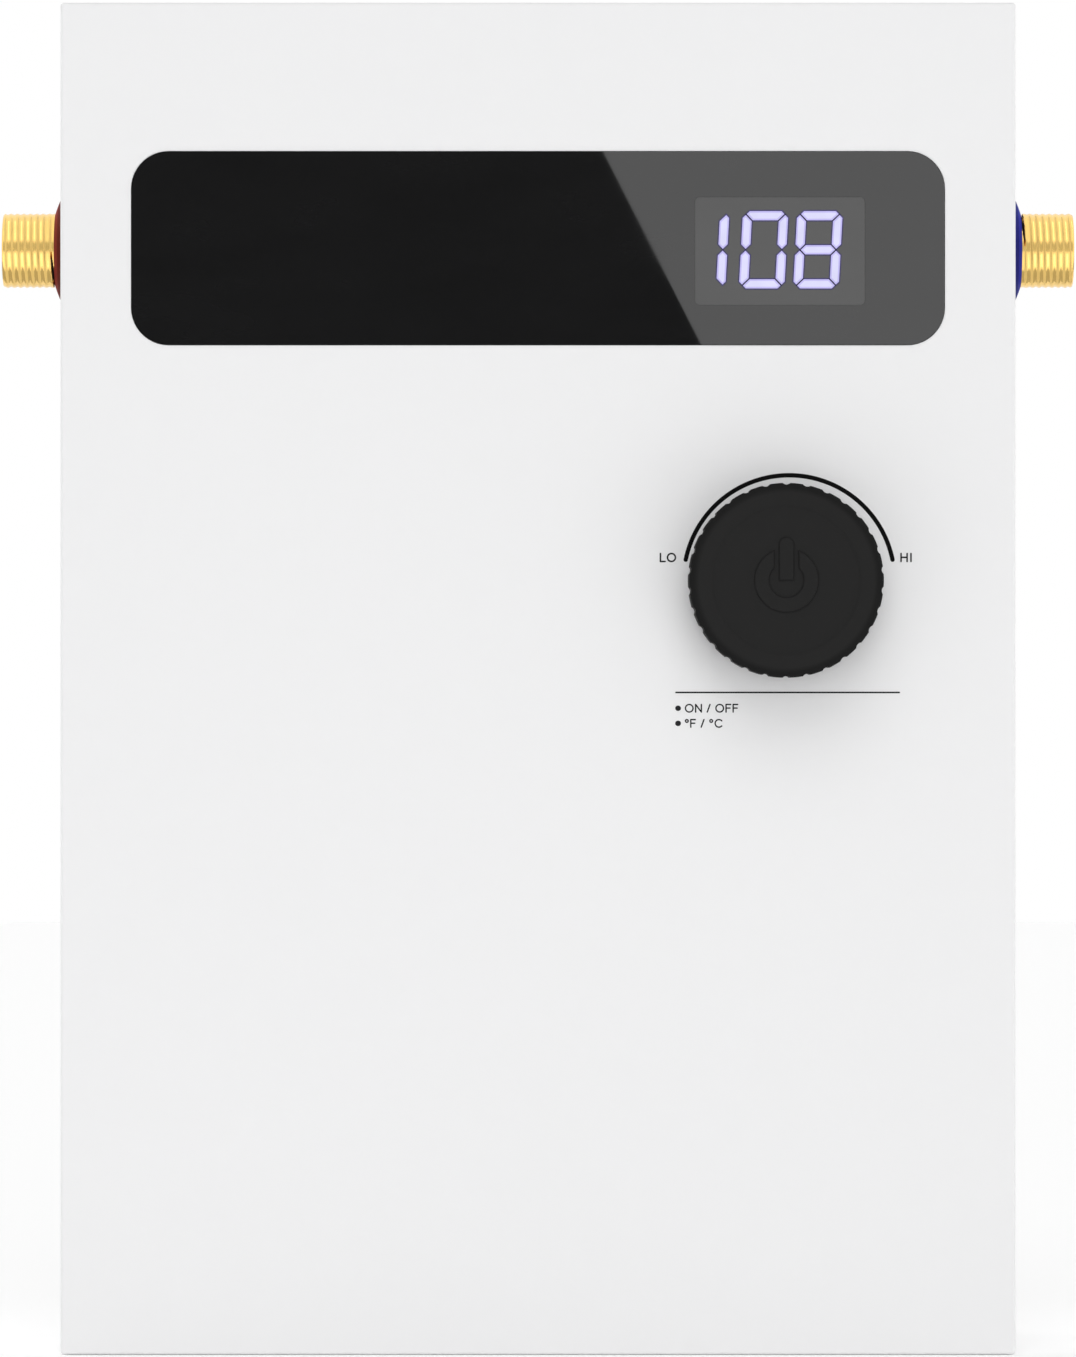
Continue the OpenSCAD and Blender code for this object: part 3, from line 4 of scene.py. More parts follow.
import bmesh
import bpy
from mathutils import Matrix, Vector


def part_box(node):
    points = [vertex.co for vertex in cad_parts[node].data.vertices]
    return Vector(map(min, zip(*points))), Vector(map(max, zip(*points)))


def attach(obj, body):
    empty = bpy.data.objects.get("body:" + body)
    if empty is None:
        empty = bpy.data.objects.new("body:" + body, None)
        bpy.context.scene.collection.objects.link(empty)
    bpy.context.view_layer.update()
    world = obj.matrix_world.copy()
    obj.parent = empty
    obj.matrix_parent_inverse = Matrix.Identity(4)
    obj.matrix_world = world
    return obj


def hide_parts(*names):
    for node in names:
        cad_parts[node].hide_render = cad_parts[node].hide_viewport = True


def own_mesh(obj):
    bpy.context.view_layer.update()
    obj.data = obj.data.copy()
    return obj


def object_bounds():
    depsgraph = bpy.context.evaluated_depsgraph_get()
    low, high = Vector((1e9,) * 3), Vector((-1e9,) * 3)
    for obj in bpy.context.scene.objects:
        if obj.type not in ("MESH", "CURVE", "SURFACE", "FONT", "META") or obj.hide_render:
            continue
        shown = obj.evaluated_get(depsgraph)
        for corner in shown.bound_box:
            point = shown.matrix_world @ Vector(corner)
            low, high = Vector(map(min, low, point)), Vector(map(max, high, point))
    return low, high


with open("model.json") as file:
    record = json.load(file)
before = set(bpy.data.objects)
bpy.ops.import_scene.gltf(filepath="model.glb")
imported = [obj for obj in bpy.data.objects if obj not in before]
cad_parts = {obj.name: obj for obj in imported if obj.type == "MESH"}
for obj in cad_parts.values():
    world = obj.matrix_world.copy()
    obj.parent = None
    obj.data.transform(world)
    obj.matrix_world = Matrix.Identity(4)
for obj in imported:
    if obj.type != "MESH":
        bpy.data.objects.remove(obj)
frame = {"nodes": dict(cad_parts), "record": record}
cad_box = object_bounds()
nodes = frame["nodes"]
record = frame["record"]
mounts = {m["name"]: m for m in record["mounts"]}
joints = {j["name"]: j for j in record["behaviour"]["joints"]}

MM = 0.001

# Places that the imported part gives, in metres
front_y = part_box("front_cover")[0].y
panel_low, panel_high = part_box("display_panel")
display_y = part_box("display_module")[0].y
knob_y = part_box("control_knob")[0].y
knob_axis = Vector(joints["knob_turn"]["pos_m"])
fitting_axis = Vector(mounts["inlet_thread"]["pos_m"])
floor_z = cad_box[0].z

# Camera, square on to the front: its distance in metres and its lens in millimetres
camera_distance = 2.3
camera_lens = 220.0
camera_y = front_y - camera_distance

# Printed lines on the cover, in millimetres from the middle of the case, and angles in degrees
ink_t = 0.05
arc_at = (69.65, 27.1)
arc_r = 29.27
arc_ends = (11.5, 168.5)
arc_stroke = 1.22
rule_x = (38.25, 100.2)
rule_z = -3.87
rule_stroke = 0.44
bullet_x = 38.85
bullet_r = 0.75
bullet_half = 0.05
stroke_end_angles = (80, 60, 40, 20)

# Printed words on the cover, in millimetres, and the gaps between letters in cap heights
dial_cap = 2.2
dial_stroke = 0.44
dial_z = 32.46
low_x, low_spacing = 33.95, 0.31
high_x, high_spacing = 100.7, 0.49
note_x = 40.9
note_rows = ((-9.3, "ON / OFF"), (-13.5, "°F / °C"))
note_cap = 2.1
note_stroke = 0.38
note_spacing = 0.34

# Lit bars of the display, in millimetres
bar_rim = 0.45
bar_slope = 0.05
border_w = 0.3
border_drop = 0.04

# Water fittings, in millimetres: radii, and places along the axis from the tray's side wall
shank_r = 10.2
tail_r = 9.5
flange_r = 15.5
flange_back, flange_front = -6.0, -2.5
nose_chamfer = 0.4
thread_wall_gap = 5.6
fitting_sides = 84

# Thread of the fittings, in millimetres along the axis, and directions in shares of a turn from the back
thread_pitch = 1.814
thread_depth = 0.26
thread_start = 4.0
groove_along, groove_turn = 6.6, 0.25
thread_phase = groove_along / thread_pitch - groove_turn
run_out = 4.5
run_out_share = 0.25
steps_per_turn = 14

# Neck behind the thread, in the same measures, which winds with it and narrows to a point; its faces get a
# black finish as painted shade in the gap
neck_r = 8.2
neck_low = 3.8
neck_turn = 0.48
neck_taper = 0.3
neck_blend = 0.2
neck_margin = 1.0
neck_room = 2 * thread_pitch

# Painted shade on the collars' rims and the knob's skirt: where it darkens, in millimetres from their axes,
# and to what share
collar_painted_shade_reach = (12.72, 13.68)
collar_painted_shade = 0.5
skirt_painted_shade_reach = (24.1, 25.3)
skirt_painted_shade = 0.64

# Power sign in the knob's dish, in millimetres
dish_depth = 0.8
sign_r = 8.8
sign_stroke = 4.0
sign_top = 11.8
sign_gap = 1.4
sign_rise = 0.6
sign_slope = 0.4
sign_root = 0.1

# Snap dome: its thickness in millimetres, and the rings and sides of its mesh
dome_t = 0.25
dome_rings = 10
dome_sides = 48

# Rounding of the edges that show, in millimetres, where faces meet at more than an angle in degrees
edge_rounding = {"chassis": 0.6, "control_knob": 0.3, "cable_grommet": 0.35, "cover_screws": 0.12}
rounding_angle = 35
rounding_steps = 3
merge_distance = 0.01

# Values of the noise between which a finish changes
noise_span = (0.3, 0.7)

# Floor, in metres, and the light that the world and the floor give
floor_half = 4.0
floor_gap = 0.0002
floor_lift = 0.185
ambient_level = 0.44

# Suns: the direction to each, the level that it adds square on, and its spread in degrees
SUNS = (
    ("front_sun", (0.1, -1.0, 0.05), 0.255, 50),
    ("top_sun", (-0.06, -1.0, 1.05), 0.22, 42),
    ("low_right_sun", (0.65, -1.0, -0.62), 0.13, 40),
    ("right_sun", (1.0, 0.5, 0.25), 0.34, 20),
    ("left_sun", (-1.0, 0.5, 0.25), 0.42, 20),
    ("back_sun", (-0.2, 1.0, 0.6), 0.1, 40),
)

# Slanting edge of the glare, in millimetres on the panel, and the strengths on its two sides
glare_top_x = 18.0
glare_aside, glare_drop = 27.2, 53.5
glare_slope = glare_aside / glare_drop
glare_strength = 3.1
shade_strength = 0.03

# Reflection cards, in metres
card_y = -3.2
card_room = 0.012
card_step = 0.2
card_lift = 0.0005
band_reach = 6.0
strip_gap = 0.002
back_y = card_y - card_step
low_z = floor_z + card_lift
top_z = 1.6

# Bands across the studio: the two places in the YZ plane that each lies between, and its strength
BANDS = (
    ("top_card", (-2.5, top_z), (2.5, top_z), 1.09),
    ("middle_card", (back_y, -0.15), (back_y, 1.7), 0.61),
    ("low_card", (-2.2, low_z), (-0.17, low_z), 1.24),
    ("near_card", (-0.16, low_z), (0.17, low_z), 0.52),
)

# Strips in front of the bands, for bright lines along the thread: corners on the right, height and strength
STRIPS = (
    ("top_strip", ((0.8, 0.6), (1.1, 0.6), (2.8, -2.2), (2.1, -2.2)), top_z - strip_gap, 2.0),
    ("low_strip", ((0.33, -0.2), (0.42, -0.2), (1.5, -1.2), (1.1, -1.2)), low_z + strip_gap, 2.4),
)


def shader(name, **values):
    """A material with one Principled shader, and the values that are the same all over it."""
    material = bpy.data.materials.new(name)
    material.use_nodes = True
    for socket, value in values.items():
        surface(material)[socket.replace("_", " ")].default_value = value
    return material


def surface(material):
    """The sockets of the material's shader."""
    return material.node_tree.nodes["Principled BSDF"].inputs


def wire(material, source, target):
    """Links an output of one node to an input of another."""
    material.node_tree.links.new(source, target)


def place(material, **values):
    """Place on the object in its own metres, stretched, turned or moved by the values."""
    add = material.node_tree.nodes.new
    own, mapping = add("ShaderNodeTexCoord"), add("ShaderNodeMapping")
    for socket, value in values.items():
        mapping.inputs[socket].default_value = value
    wire(material, own.outputs["Object"], mapping.inputs["Vector"])
    return mapping.outputs["Vector"]


def grain(material, scale, stretch=(1, 1, 1), detail=4.0):
    """Noise in the object's own metres: scale is the number of grains in a metre."""
    noise = material.node_tree.nodes.new("ShaderNodeTexNoise")
    noise.inputs["Scale"].default_value = scale
    noise.inputs["Detail"].default_value = detail
    wire(material, place(material, Scale=stretch), noise.inputs["Vector"])
    return noise.outputs["Fac"]


def tone(material, factor, low, high, socket="Base Color", stops=noise_span):
    """Colour from low to high, as the factor goes from one stop to the other."""
    ramp = material.node_tree.nodes.new("ShaderNodeValToRGB")
    for element, stop, colour in zip(ramp.color_ramp.elements, stops, (low, high)):
        element.position = stop
        element.color = (*colour, 1)
    wire(material, factor, ramp.inputs["Fac"])
    wire(material, ramp.outputs["Color"], surface(material)[socket])


def roughness(material, noise, low, high):
    """Roughness between low and high along the noise."""
    ranged = material.node_tree.nodes.new("ShaderNodeMapRange")
    for socket, value in zip(("From Min", "From Max", "To Min", "To Max"), (*noise_span, low, high)):
        ranged.inputs[socket].default_value = value
    wire(material, noise, ranged.inputs["Value"])
    wire(material, ranged.outputs["Result"], surface(material)["Roughness"])


def relief(material, noise, depth):
    """Fine relief of the given depth in millimetres."""
    bump = material.node_tree.nodes.new("ShaderNodeBump")
    bump.inputs["Distance"].default_value = depth * MM
    wire(material, noise, bump.inputs["Height"])
    wire(material, bump.outputs["Normal"], surface(material)["Normal"])


def scaled(colour, factor):
    """The colour, darker or paler by a factor."""
    return tuple(min(1.0, c * factor) for c in colour)


def painted(name, colour):
    """Smooth powder coat on sheet steel."""
    material = shader(name, Specular_IOR_Level=0.35)
    powder = grain(material, scale=1500)
    tone(material, grain(material, scale=5, detail=2.0), low=scaled(colour, 0.994), high=colour)
    roughness(material, powder, low=0.4, high=0.52)
    relief(material, powder, depth=0.01)
    return material


def plated(name, colour):
    """Plated steel with fine brushed lines."""
    material = shader(name, Metallic=1.0)
    lines = grain(material, scale=900, stretch=(1, 1, 0.06))
    tone(material, lines, low=scaled(colour, 0.86), high=colour)
    roughness(material, lines, low=0.24, high=0.4)
    relief(material, lines, depth=0.01)
    return material


def turned(name, colour):
    """Metal turned on a lathe about the X axis, with fine rings and a slight change of colour."""
    material = shader(name, Metallic=1.0)
    rings = grain(material, scale=3000, stretch=(1, 0.02, 0.02), detail=2.0)
    tone(material, grain(material, scale=160), low=scaled(colour, 0.93), high=colour)
    roughness(material, rings, low=0.13, high=0.22)
    relief(material, rings, depth=0.004)
    return material


def drawn(name, colour):
    """Drawn tube, with streaks along Z and a little tarnish."""
    material = shader(name, Metallic=1.0)
    streaks = grain(material, scale=500, stretch=(1, 1, 0.03))
    tone(material, grain(material, scale=40), low=scaled(colour, 0.72), high=colour)
    roughness(material, streaks, low=0.26, high=0.42)
    relief(material, streaks, depth=0.01)
    return material


def rubber(name, colour):
    """Dull rubber or cable insulation, with a dusty bloom."""
    material = shader(name, Specular_IOR_Level=0.3)
    skin_grain = grain(material, scale=1800)
    tone(material, grain(material, scale=70), low=colour, high=scaled(colour, 1.35))
    roughness(material, skin_grain, low=0.62, high=0.8)
    relief(material, skin_grain, depth=0.03)
    return material


def matt_plastic(name, colour):
    """Moulded plastic with a fine spark-eroded skin."""
    material = shader(name, Specular_IOR_Level=0.25)
    skin_grain = grain(material, scale=2400)
    tone(material, grain(material, scale=60), low=scaled(colour, 0.93), high=scaled(colour, 1.07))
    roughness(material, skin_grain, low=0.44, high=0.58)
    relief(material, skin_grain, depth=0.02)
    return material


def dull_skin(name):
    """Skin of moulded plastic with almost no shine, still without its colour."""
    material = shader(name, Specular_IOR_Level=0.03)
    skin_grain = grain(material, scale=1600)
    roughness(material, skin_grain, low=0.5, high=0.64)
    relief(material, skin_grain, depth=0.008)
    return material


def dull_plastic(name, colour):
    """Moulded plastic with almost no shine, a little uneven in colour."""
    material = dull_skin(name)
    patches = grain(material, scale=110, detail=2.0)
    tone(material, patches, low=scaled(colour, 0.9), high=scaled(colour, 1.1))
    return material


def paint_shade_outside(material, colour, axis_at, square_to_axis, reach, share):
    """Painted shade: darkens the colour to a share of itself, away from an axis, over a reach in
    millimetres.
    """
    add = material.node_tree.nodes.new
    radius, outside = add("ShaderNodeVectorMath"), add("ShaderNodeMapRange")
    radius.operation = "LENGTH"
    outside.inputs["From Min"].default_value = reach[0] * MM
    outside.inputs["From Max"].default_value = reach[1] * MM
    move = [-a * s for a, s in zip(axis_at, square_to_axis)]
    wire(material, place(material, Location=move, Scale=square_to_axis), radius.inputs[0])
    wire(material, radius.outputs["Value"], outside.inputs["Value"])
    tone(material, outside.outputs["Result"], low=colour, high=scaled(colour, share), stops=(0, 1))


def knob_plastic(name, colour):
    """Moulded plastic with almost no shine, with painted shade that darkens the ribbed skirt against the
    face.
    """
    material = dull_skin(name)
    paint_shade_outside(material, colour, knob_axis, (1, 0, 1), skirt_painted_shade_reach, skirt_painted_shade)
    return material


def collar_plastic(name, colour):
    """Moulded plastic with almost no shine, with painted shade that darkens the collar's rim against its
    crown.
    """
    material = dull_skin(name)
    paint_shade_outside(material, colour, fitting_axis, (0, 1, 1), collar_painted_shade_reach, collar_painted_shade)
    return material


def gloss_plastic(name, colour):
    """Polished plastic, with very slight waves."""
    material = shader(name, Specular_IOR_Level=0.5)
    waves = grain(material, scale=45, detail=2.0)
    tone(material, waves, low=scaled(colour, 0.94), high=scaled(colour, 1.06))
    roughness(material, waves, low=0.1, high=0.16)
    relief(material, waves, depth=0.01)
    return material


def panel_plastic(name, colour):
    """Dark panel, polished flat, with faint smears in its gloss."""
    material = shader(name, Specular_IOR_Level=0.34)
    smears = grain(material, scale=30, stretch=(1, 1, 2.5), detail=3.0)
    tone(material, smears, low=scaled(colour, 0.92), high=scaled(colour, 1.08))
    roughness(material, smears, low=0.008, high=0.014)
    return material


def lit_plastic(name, colour):
    """Lit diffuser of a display bar, a little uneven."""
    material = shader(name, Base_Color=(0.02, 0.02, 0.025, 1), Roughness=0.3, Emission_Strength=1.0)
    patches = grain(material, scale=210, detail=1.0)
    tone(material, patches, low=scaled(colour, 0.92), high=colour, socket="Emission Color")
    return material


def circuit_board(name, colour):
    """Green solder mask over fine copper tracks."""
    material = shader(name, Specular_IOR_Level=0.45)
    tracks = material.node_tree.nodes.new("ShaderNodeTexBrick")
    tracks.inputs["Scale"].default_value = 240.0
    tracks.inputs["Mortar Size"].default_value = 0.09
    for socket, factor in (("Color1", 1.0), ("Color2", 0.85), ("Mortar", 1.7)):
        tracks.inputs[socket].default_value = (*scaled(colour, factor), 1)
    upright = place(material, Rotation=(math.radians(90), 0, 0))
    wire(material, upright, tracks.inputs["Vector"])
    wire(material, tracks.outputs["Color"], surface(material)["Base Color"])
    roughness(material, grain(material, scale=300), low=0.28, high=0.42)
    return material


def ink(name, colour):
    """Screen-printed ink, slightly uneven."""
    material = shader(name, Specular_IOR_Level=0.04)
    film = grain(material, scale=1200)
    tone(material, film, low=colour, high=scaled(colour, 1.3))
    roughness(material, film, low=0.5, high=0.64)
    return material


# Finish and colour of each slot of the record
FINISHES = {
    "case_white": (painted, (0.835, 0.835, 0.84)),
    "zinc_steel": (plated, (0.68, 0.69, 0.71)),
    "grommet_rubber": (rubber, (0.03, 0.03, 0.032)),
    "panel_black": (panel_plastic, (0.0088, 0.0088, 0.009)),
    "carrier_black": (matt_plastic, (0.03, 0.03, 0.033)),
    "display_grey": (panel_plastic, (0.036, 0.036, 0.036)),
    "segment_glow": (lit_plastic, (0.72, 0.71, 0.97)),
    "board_green": (circuit_board, (0.03, 0.15, 0.06)),
    "knob_black": (knob_plastic, (0.0186, 0.0185, 0.0184)),
    "rotor_ivory": (matt_plastic, (0.72, 0.69, 0.58)),
    "encoder_zinc": (plated, (0.55, 0.56, 0.58)),
    "dome_steel": (plated, (0.75, 0.7, 0.5)),
    "brass": (turned, (0.99, 0.668, 0.21)),
    "collar_blue": (collar_plastic, (0.025, 0.033, 0.36)),
    "collar_red": (collar_plastic, (0.245, 0.034, 0.027)),
    "gasket_black": (rubber, (0.025, 0.025, 0.025)),
    "sensor_white": (matt_plastic, (0.74, 0.74, 0.72)),
    "turbine_orange": (matt_plastic, (0.75, 0.28, 0.04)),
    "part_black": (matt_plastic, (0.02, 0.02, 0.022)),
    "copper": (drawn, (0.80, 0.42, 0.26)),
    "element_steel": (plated, (0.5, 0.5, 0.5)),
    "saddle_grey": (matt_plastic, (0.1, 0.11, 0.12)),
    "cutoff_brown": (gloss_plastic, (0.14, 0.05, 0.02)),
    "button_red": (gloss_plastic, (0.6, 0.03, 0.025)),
    "probe_steel": (plated, (0.7, 0.66, 0.5)),
    "relay_blue": (matt_plastic, (0.03, 0.1, 0.36)),
    "capacitor_navy": (gloss_plastic, (0.02, 0.03, 0.09)),
    "lead_red": (rubber, (0.4, 0.03, 0.03)),
    "lead_black": (rubber, (0.02, 0.02, 0.02)),
    "cable_grey": (rubber, (0.2, 0.21, 0.22)),
}
finish = {slot: make(slot, colour) for slot, (make, colour) in FINISHES.items()}
ink_black = ink("ink_black", (0.0035, 0.0035, 0.0035))
ink_grey = ink("ink_grey", (0.018, 0.018, 0.019))
bar_edge = lit_plastic("bar_edge", (0.54, 0.50, 0.90))
bar_border = dull_plastic("bar_border", (0.06, 0.053, 0.155))


def dress_nodes():
    """Gives every part of the frame the finish of its slot."""
    for part in record["subparts"]:
        mesh = nodes[part["node"]].data
        mesh.materials.clear()
        mesh.materials.append(finish[part["material_slot"]])


def round_edges():
    """Rounds the sharp edges of the parts that show."""
    for name, width in edge_rounding.items():
        part = nodes[name]
        weld = part.modifiers.new("join_seams", "WELD")
        weld.merge_threshold = merge_distance * MM
        bevel = part.modifiers.new("round_edges", "BEVEL")
        bevel.width = width * MM
        bevel.segments = rounding_steps
        bevel.limit_method = "ANGLE"
        bevel.angle_limit = math.radians(rounding_angle)
        part.modifiers.new("even_shading", "WEIGHTED_NORMAL")


def piece(name, mesh, materials, body="case"):
    """A new visible piece that rides on a body."""
    made = bpy.data.objects.new(name, mesh)
    bpy.context.scene.collection.objects.link(made)
    for material in materials:
        mesh.materials.append(material)
    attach(made, body)
    return made


def mesh_of(name, shape, smooth_angle=None):
    """The mesh of a bmesh, shaded smooth below an angle in degrees."""
    bmesh.ops.recalc_face_normals(shape, faces=shape.faces)
    mesh = bpy.data.meshes.new(name)
    shape.to_mesh(mesh)
    shape.free()
    if smooth_angle is not None:
        mesh.shade_smooth()
        mesh.set_sharp_from_angle(angle=math.radians(smooth_angle))
    return mesh


def arc_points(centre, radii, start, stop, steps):
    """Points along an arc of an ellipse, in degrees from the right, counter-clockwise."""
    angles = [math.radians(start + (stop - start) * k / steps) for k in range(steps + 1)]
    return [(centre[0] + radii[0] * math.cos(a), centre[1] + radii[1] * math.sin(a)) for a in angles]


# Letters as strokes, in cap heights: the width, then the paths
LETTERS = {
    "L": (0.58, [[(0, 1), (0, 0)], [(0, 0), (0.58, 0)]]),
    "O": (1.0, [arc_points((0.5, 0.5), (0.5, 0.5), 0, 360, steps=40)]),
    "H": (0.76, [[(0, 0), (0, 1)], [(0.76, 0), (0.76, 1)], [(0, 0.52), (0.76, 0.52)]]),
    "I": (0.0, [[(0, 0), (0, 1)]]),
    "N": (0.76, [[(0, 0), (0, 1)], [(0, 1), (0.76, 0)], [(0.76, 0), (0.76, 1)]]),
    "F": (0.6, [[(0, 0), (0, 1)], [(0, 1), (0.6, 1)], [(0, 0.52), (0.52, 0.52)]]),
    "C": (0.88, [arc_points((0.5, 0.5), (0.5, 0.5), 42, 318, steps=32)]),
    "/": (0.36, [[(0, 0), (0.36, 1)]]),
    "°": (0.36, [arc_points((0.18, 0.82), (0.18, 0.18), 0, 360, steps=20)]),
    " ": (0.1, []),
}


def ribbon_stations(path, width):
    """Places along a path with the heading and half width of the ribbon there, round at the ends."""
    points = [Vector(p) for p in path]
    half = width / 2
    ahead = [(b - a).normalized() for a, b in zip(points, points[1:])]
    headings = [ahead[0]] + [(a + b).normalized() for a, b in zip(ahead, ahead[1:])] + [ahead[-1]]
    ends = [math.radians(a) for a in stroke_end_angles]
    lead = [(points[0] - ahead[0] * half * math.sin(a), ahead[0], half * math.cos(a))
            for a in ends]
    tail = [(points[-1] + ahead[-1] * half * math.sin(a), ahead[-1], half * math.cos(a))
            for a in ends[::-1]]
    return lead + [(p, h, half) for p, h in zip(points, headings)] + tail


def print_stroke(shape, path, width):
    """Ribbon of ink along a path on the cover's face, in millimetres."""
    rings = []
    for at, along, half in ribbon_stations(path, width):
        aside = Vector((-along.y, along.x)) * half
        corners = ((at + aside, -ink_t), (at - aside, -ink_t), (at - aside, ink_t), (at + aside, ink_t))
        rings.append([shape.verts.new((p.x * MM, front_y + d * MM, p.y * MM)) for p, d in corners])
    for a, b in zip(rings, rings[1:]):
        skin(shape, a, b)
    shape.faces.new(rings[0][::-1])
    shape.faces.new(rings[-1])


def print_words(shape, words, x, z, cap, spacing, width):
    """Words in strokes, from x to the right; spacing is the gap between letters in cap heights."""
    for letter in words:
        advance, paths = LETTERS[letter]
        for path in paths:
            print_stroke(shape, [(x + px * cap, z + pz * cap) for px, pz in path], width)
        x += (advance + spacing) * cap


def printed_marks():
    """The dial's arc, its two end words, the rule below the knob and the note below the rule."""
    arc = bmesh.new()
    print_stroke(arc, arc_points(arc_at, (arc_r, arc_r), *arc_ends, steps=96), arc_stroke)
    piece("dial_arc", mesh_of("dial_arc", arc), [ink_black])
    words = bmesh.new()
    print_words(words, "LO", low_x, dial_z, dial_cap, low_spacing, dial_stroke)
    print_words(words, "HI", high_x, dial_z, dial_cap, high_spacing, dial_stroke)
    piece("dial_words", mesh_of("dial_words", words), [ink_grey])
    note = bmesh.new()
    print_stroke(note, [(rule_x[0], rule_z), (rule_x[1], rule_z)], rule_stroke)
    for z, row in note_rows:
        print_words(note, row, note_x, z, note_cap, note_spacing, note_stroke)
        middle = z + note_cap / 2
        bullet = [(bullet_x - bullet_half, middle), (bullet_x + bullet_half, middle)]
        print_stroke(note, bullet, 2 * bullet_r)
    piece("press_note", mesh_of("press_note", note), [ink_grey])


def joined_groups(vertices):
    """The vertices in groups that edges join."""
    left = set(vertices)
    groups = []
    while left:
        group, waiting = [], [left.pop()]
        while waiting:
            vertex = waiting.pop()
            group.append(vertex)
            near = {e.other_vert(vertex) for e in vertex.link_edges} & left
            left -= near
            waiting.extend(near)
        groups.append(group)
    return groups


def bar_outlines():
    """Outline of each lit bar of the display, counter-clockwise from the front, in the XZ plane."""
    shape = bmesh.new()
    shape.from_mesh(nodes["display_segments"].data)
    bmesh.ops.remove_doubles(shape, verts=shape.verts, dist=merge_distance * MM)
    face_y = min(v.co.y for v in shape.verts)
    outlines = []
    for group in joined_groups(v for v in shape.verts if v.co.y < face_y + merge_distance * MM):
        points = [Vector(p) for p in sorted((v.co.x, v.co.z) for v in group)]
        middle = sum(points, Vector((0, 0))) / len(points)
        outlines.append(sorted(points, key=lambda p: math.atan2(p.y - middle.y, p.x - middle.x)))
    shape.free()
    return face_y, sorted(outlines, key=lambda o: (o[0].x, o[0].y))


def grown(outline, distance):
    """A convex outline with each side moved outwards by the distance."""
    count = len(outline)
    corners = []
    for i, p in enumerate(outline):
        before = (p - outline[i - 1]).normalized()
        after = (outline[(i + 1) % count] - p).normalized()
        out = Vector((before.y + after.y, -before.x - after.x)).normalized()
        corners.append(p + out * distance / (out.dot(Vector((after.y, -after.x)))))
    return corners


def loop(shape, outline, y):
    """A loop of points along an outline in the XZ plane, at the depth y."""
    return [shape.verts.new((p.x, y, p.y)) for p in outline]


def skin(shape, a, b, material=0):
    """Faces between two loops with the same number of points."""
    for k in range(len(a)):
        face = shape.faces.new((a[k], a[(k + 1) % len(a)], b[(k + 1) % len(b)], b[k]))
        face.material_index = material


def lit_bars():
    """Bars with a sloping rim, in the second finish, round a brighter middle, each in a dark border."""
    face_y, outlines = bar_outlines()
    bars, borders = bmesh.new(), bmesh.new()
    for outline in outlines:
        back = loop(bars, outline, display_y)
        rim = loop(bars, outline, face_y + bar_slope * MM)
        core = loop(bars, grown(outline, -bar_rim * MM), face_y)
        bars.faces.new(back[::-1]).material_index = 1
        skin(bars, back, rim, material=1)
        skin(bars, rim, core, material=1)
        bars.faces.new(core)
        outer = grown(outline, border_w * MM)
        low = loop(borders, outer, display_y)
        high = loop(borders, outer, face_y + (bar_slope + border_drop) * MM)
        borders.faces.new(low[::-1])
        skin(borders, low, high)
        borders.faces.new(high)
    made = piece("lit_bars", mesh_of("lit_bars", bars), [finish["segment_glow"], bar_edge])
    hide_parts("display_segments")
    piece("bar_borders", mesh_of("bar_borders", borders), [bar_border])


def sign_outlines(offset):
    """Outlines of the sign's open ring and of its bar, moved outwards by the offset."""
    outer, inner = sign_r + offset, sign_r - sign_stroke - offset
    end_x = sign_stroke / 2 + sign_gap - offset
    outer_end, inner_end = (math.degrees(math.acos(end_x / r)) for r in (outer, inner))
    ring = arc_points((0, 0), (outer, outer), 180 - outer_end, 360 + outer_end, steps=72)
    ring += arc_points((0, 0), (inner, inner), 360 + inner_end, 180 - inner_end, steps=60)
    half = sign_stroke / 2 + offset
    bar = [(half, -offset)]
    bar += arc_points((0, sign_top - sign_stroke / 2), (half, half), 0, 180, steps=24)
    bar.append((-half, -offset))
    return ring, bar


def on_knob(outline):
    """An outline in millimetres from the knob's axis, as places in the XZ plane."""
    return [Vector((knob_axis.x + x * MM, knob_axis.z + z * MM)) for x, z in outline]


def power_sign():
    """Raised sign with sloping sides, in the knob's dish."""
    floor_y = knob_y + dish_depth * MM
    shape = bmesh.new()
    for wide, narrow in zip(sign_outlines(sign_slope / 2), sign_outlines(-sign_slope / 2)):
        levels = ((wide, sign_root), (wide, 0.0), (narrow, -sign_rise))
        loops = [loop(shape, on_knob(outline), floor_y + depth * MM) for outline, depth in levels]
        shape.faces.new(loops[0][::-1])
        skin(shape, loops[0], loops[1])
        skin(shape, loops[1], loops[2])
        shape.faces.new(loops[2])
    mesh = mesh_of("power_sign", shape, smooth_angle=30)
    made = piece("power_sign", mesh, [finish["knob_black"]], "knob")


def sprung_dome():
    """Thin dome under the knob's shaft, in the place of the imported one."""
    low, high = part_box("snap_dome")
    height, reach = high.y - low.y, (high.z - low.z) / 2
    ball = (reach ** 2 + height ** 2) / (2 * height)
    shape = bmesh.new()
    rims = []
    for radius in (ball, ball - dome_t * MM):
        edge = math.acos((ball - height) / radius)
        loops = []
        for angle in [edge * (k + 1) / dome_rings for k in range(dome_rings)]:
            wide = radius * math.sin(angle)
            circle = arc_points((knob_axis.x, knob_axis.z), (wide, wide), 0, 360, dome_sides)[:-1]
            loops.append(loop(shape, [Vector(p) for p in circle], low.y + ball - radius * math.cos(angle)))
        for a, b in zip(loops, loops[1:]):
            skin(shape, a, b)
        shape.faces.new(loops[0])
        rims.append(loops[-1])
    skin(shape, *rims)
    made = piece("sprung_dome", mesh_of("sprung_dome", shape, smooth_angle=40), [finish["dome_steel"]])
    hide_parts("snap_dome")
    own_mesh(made)


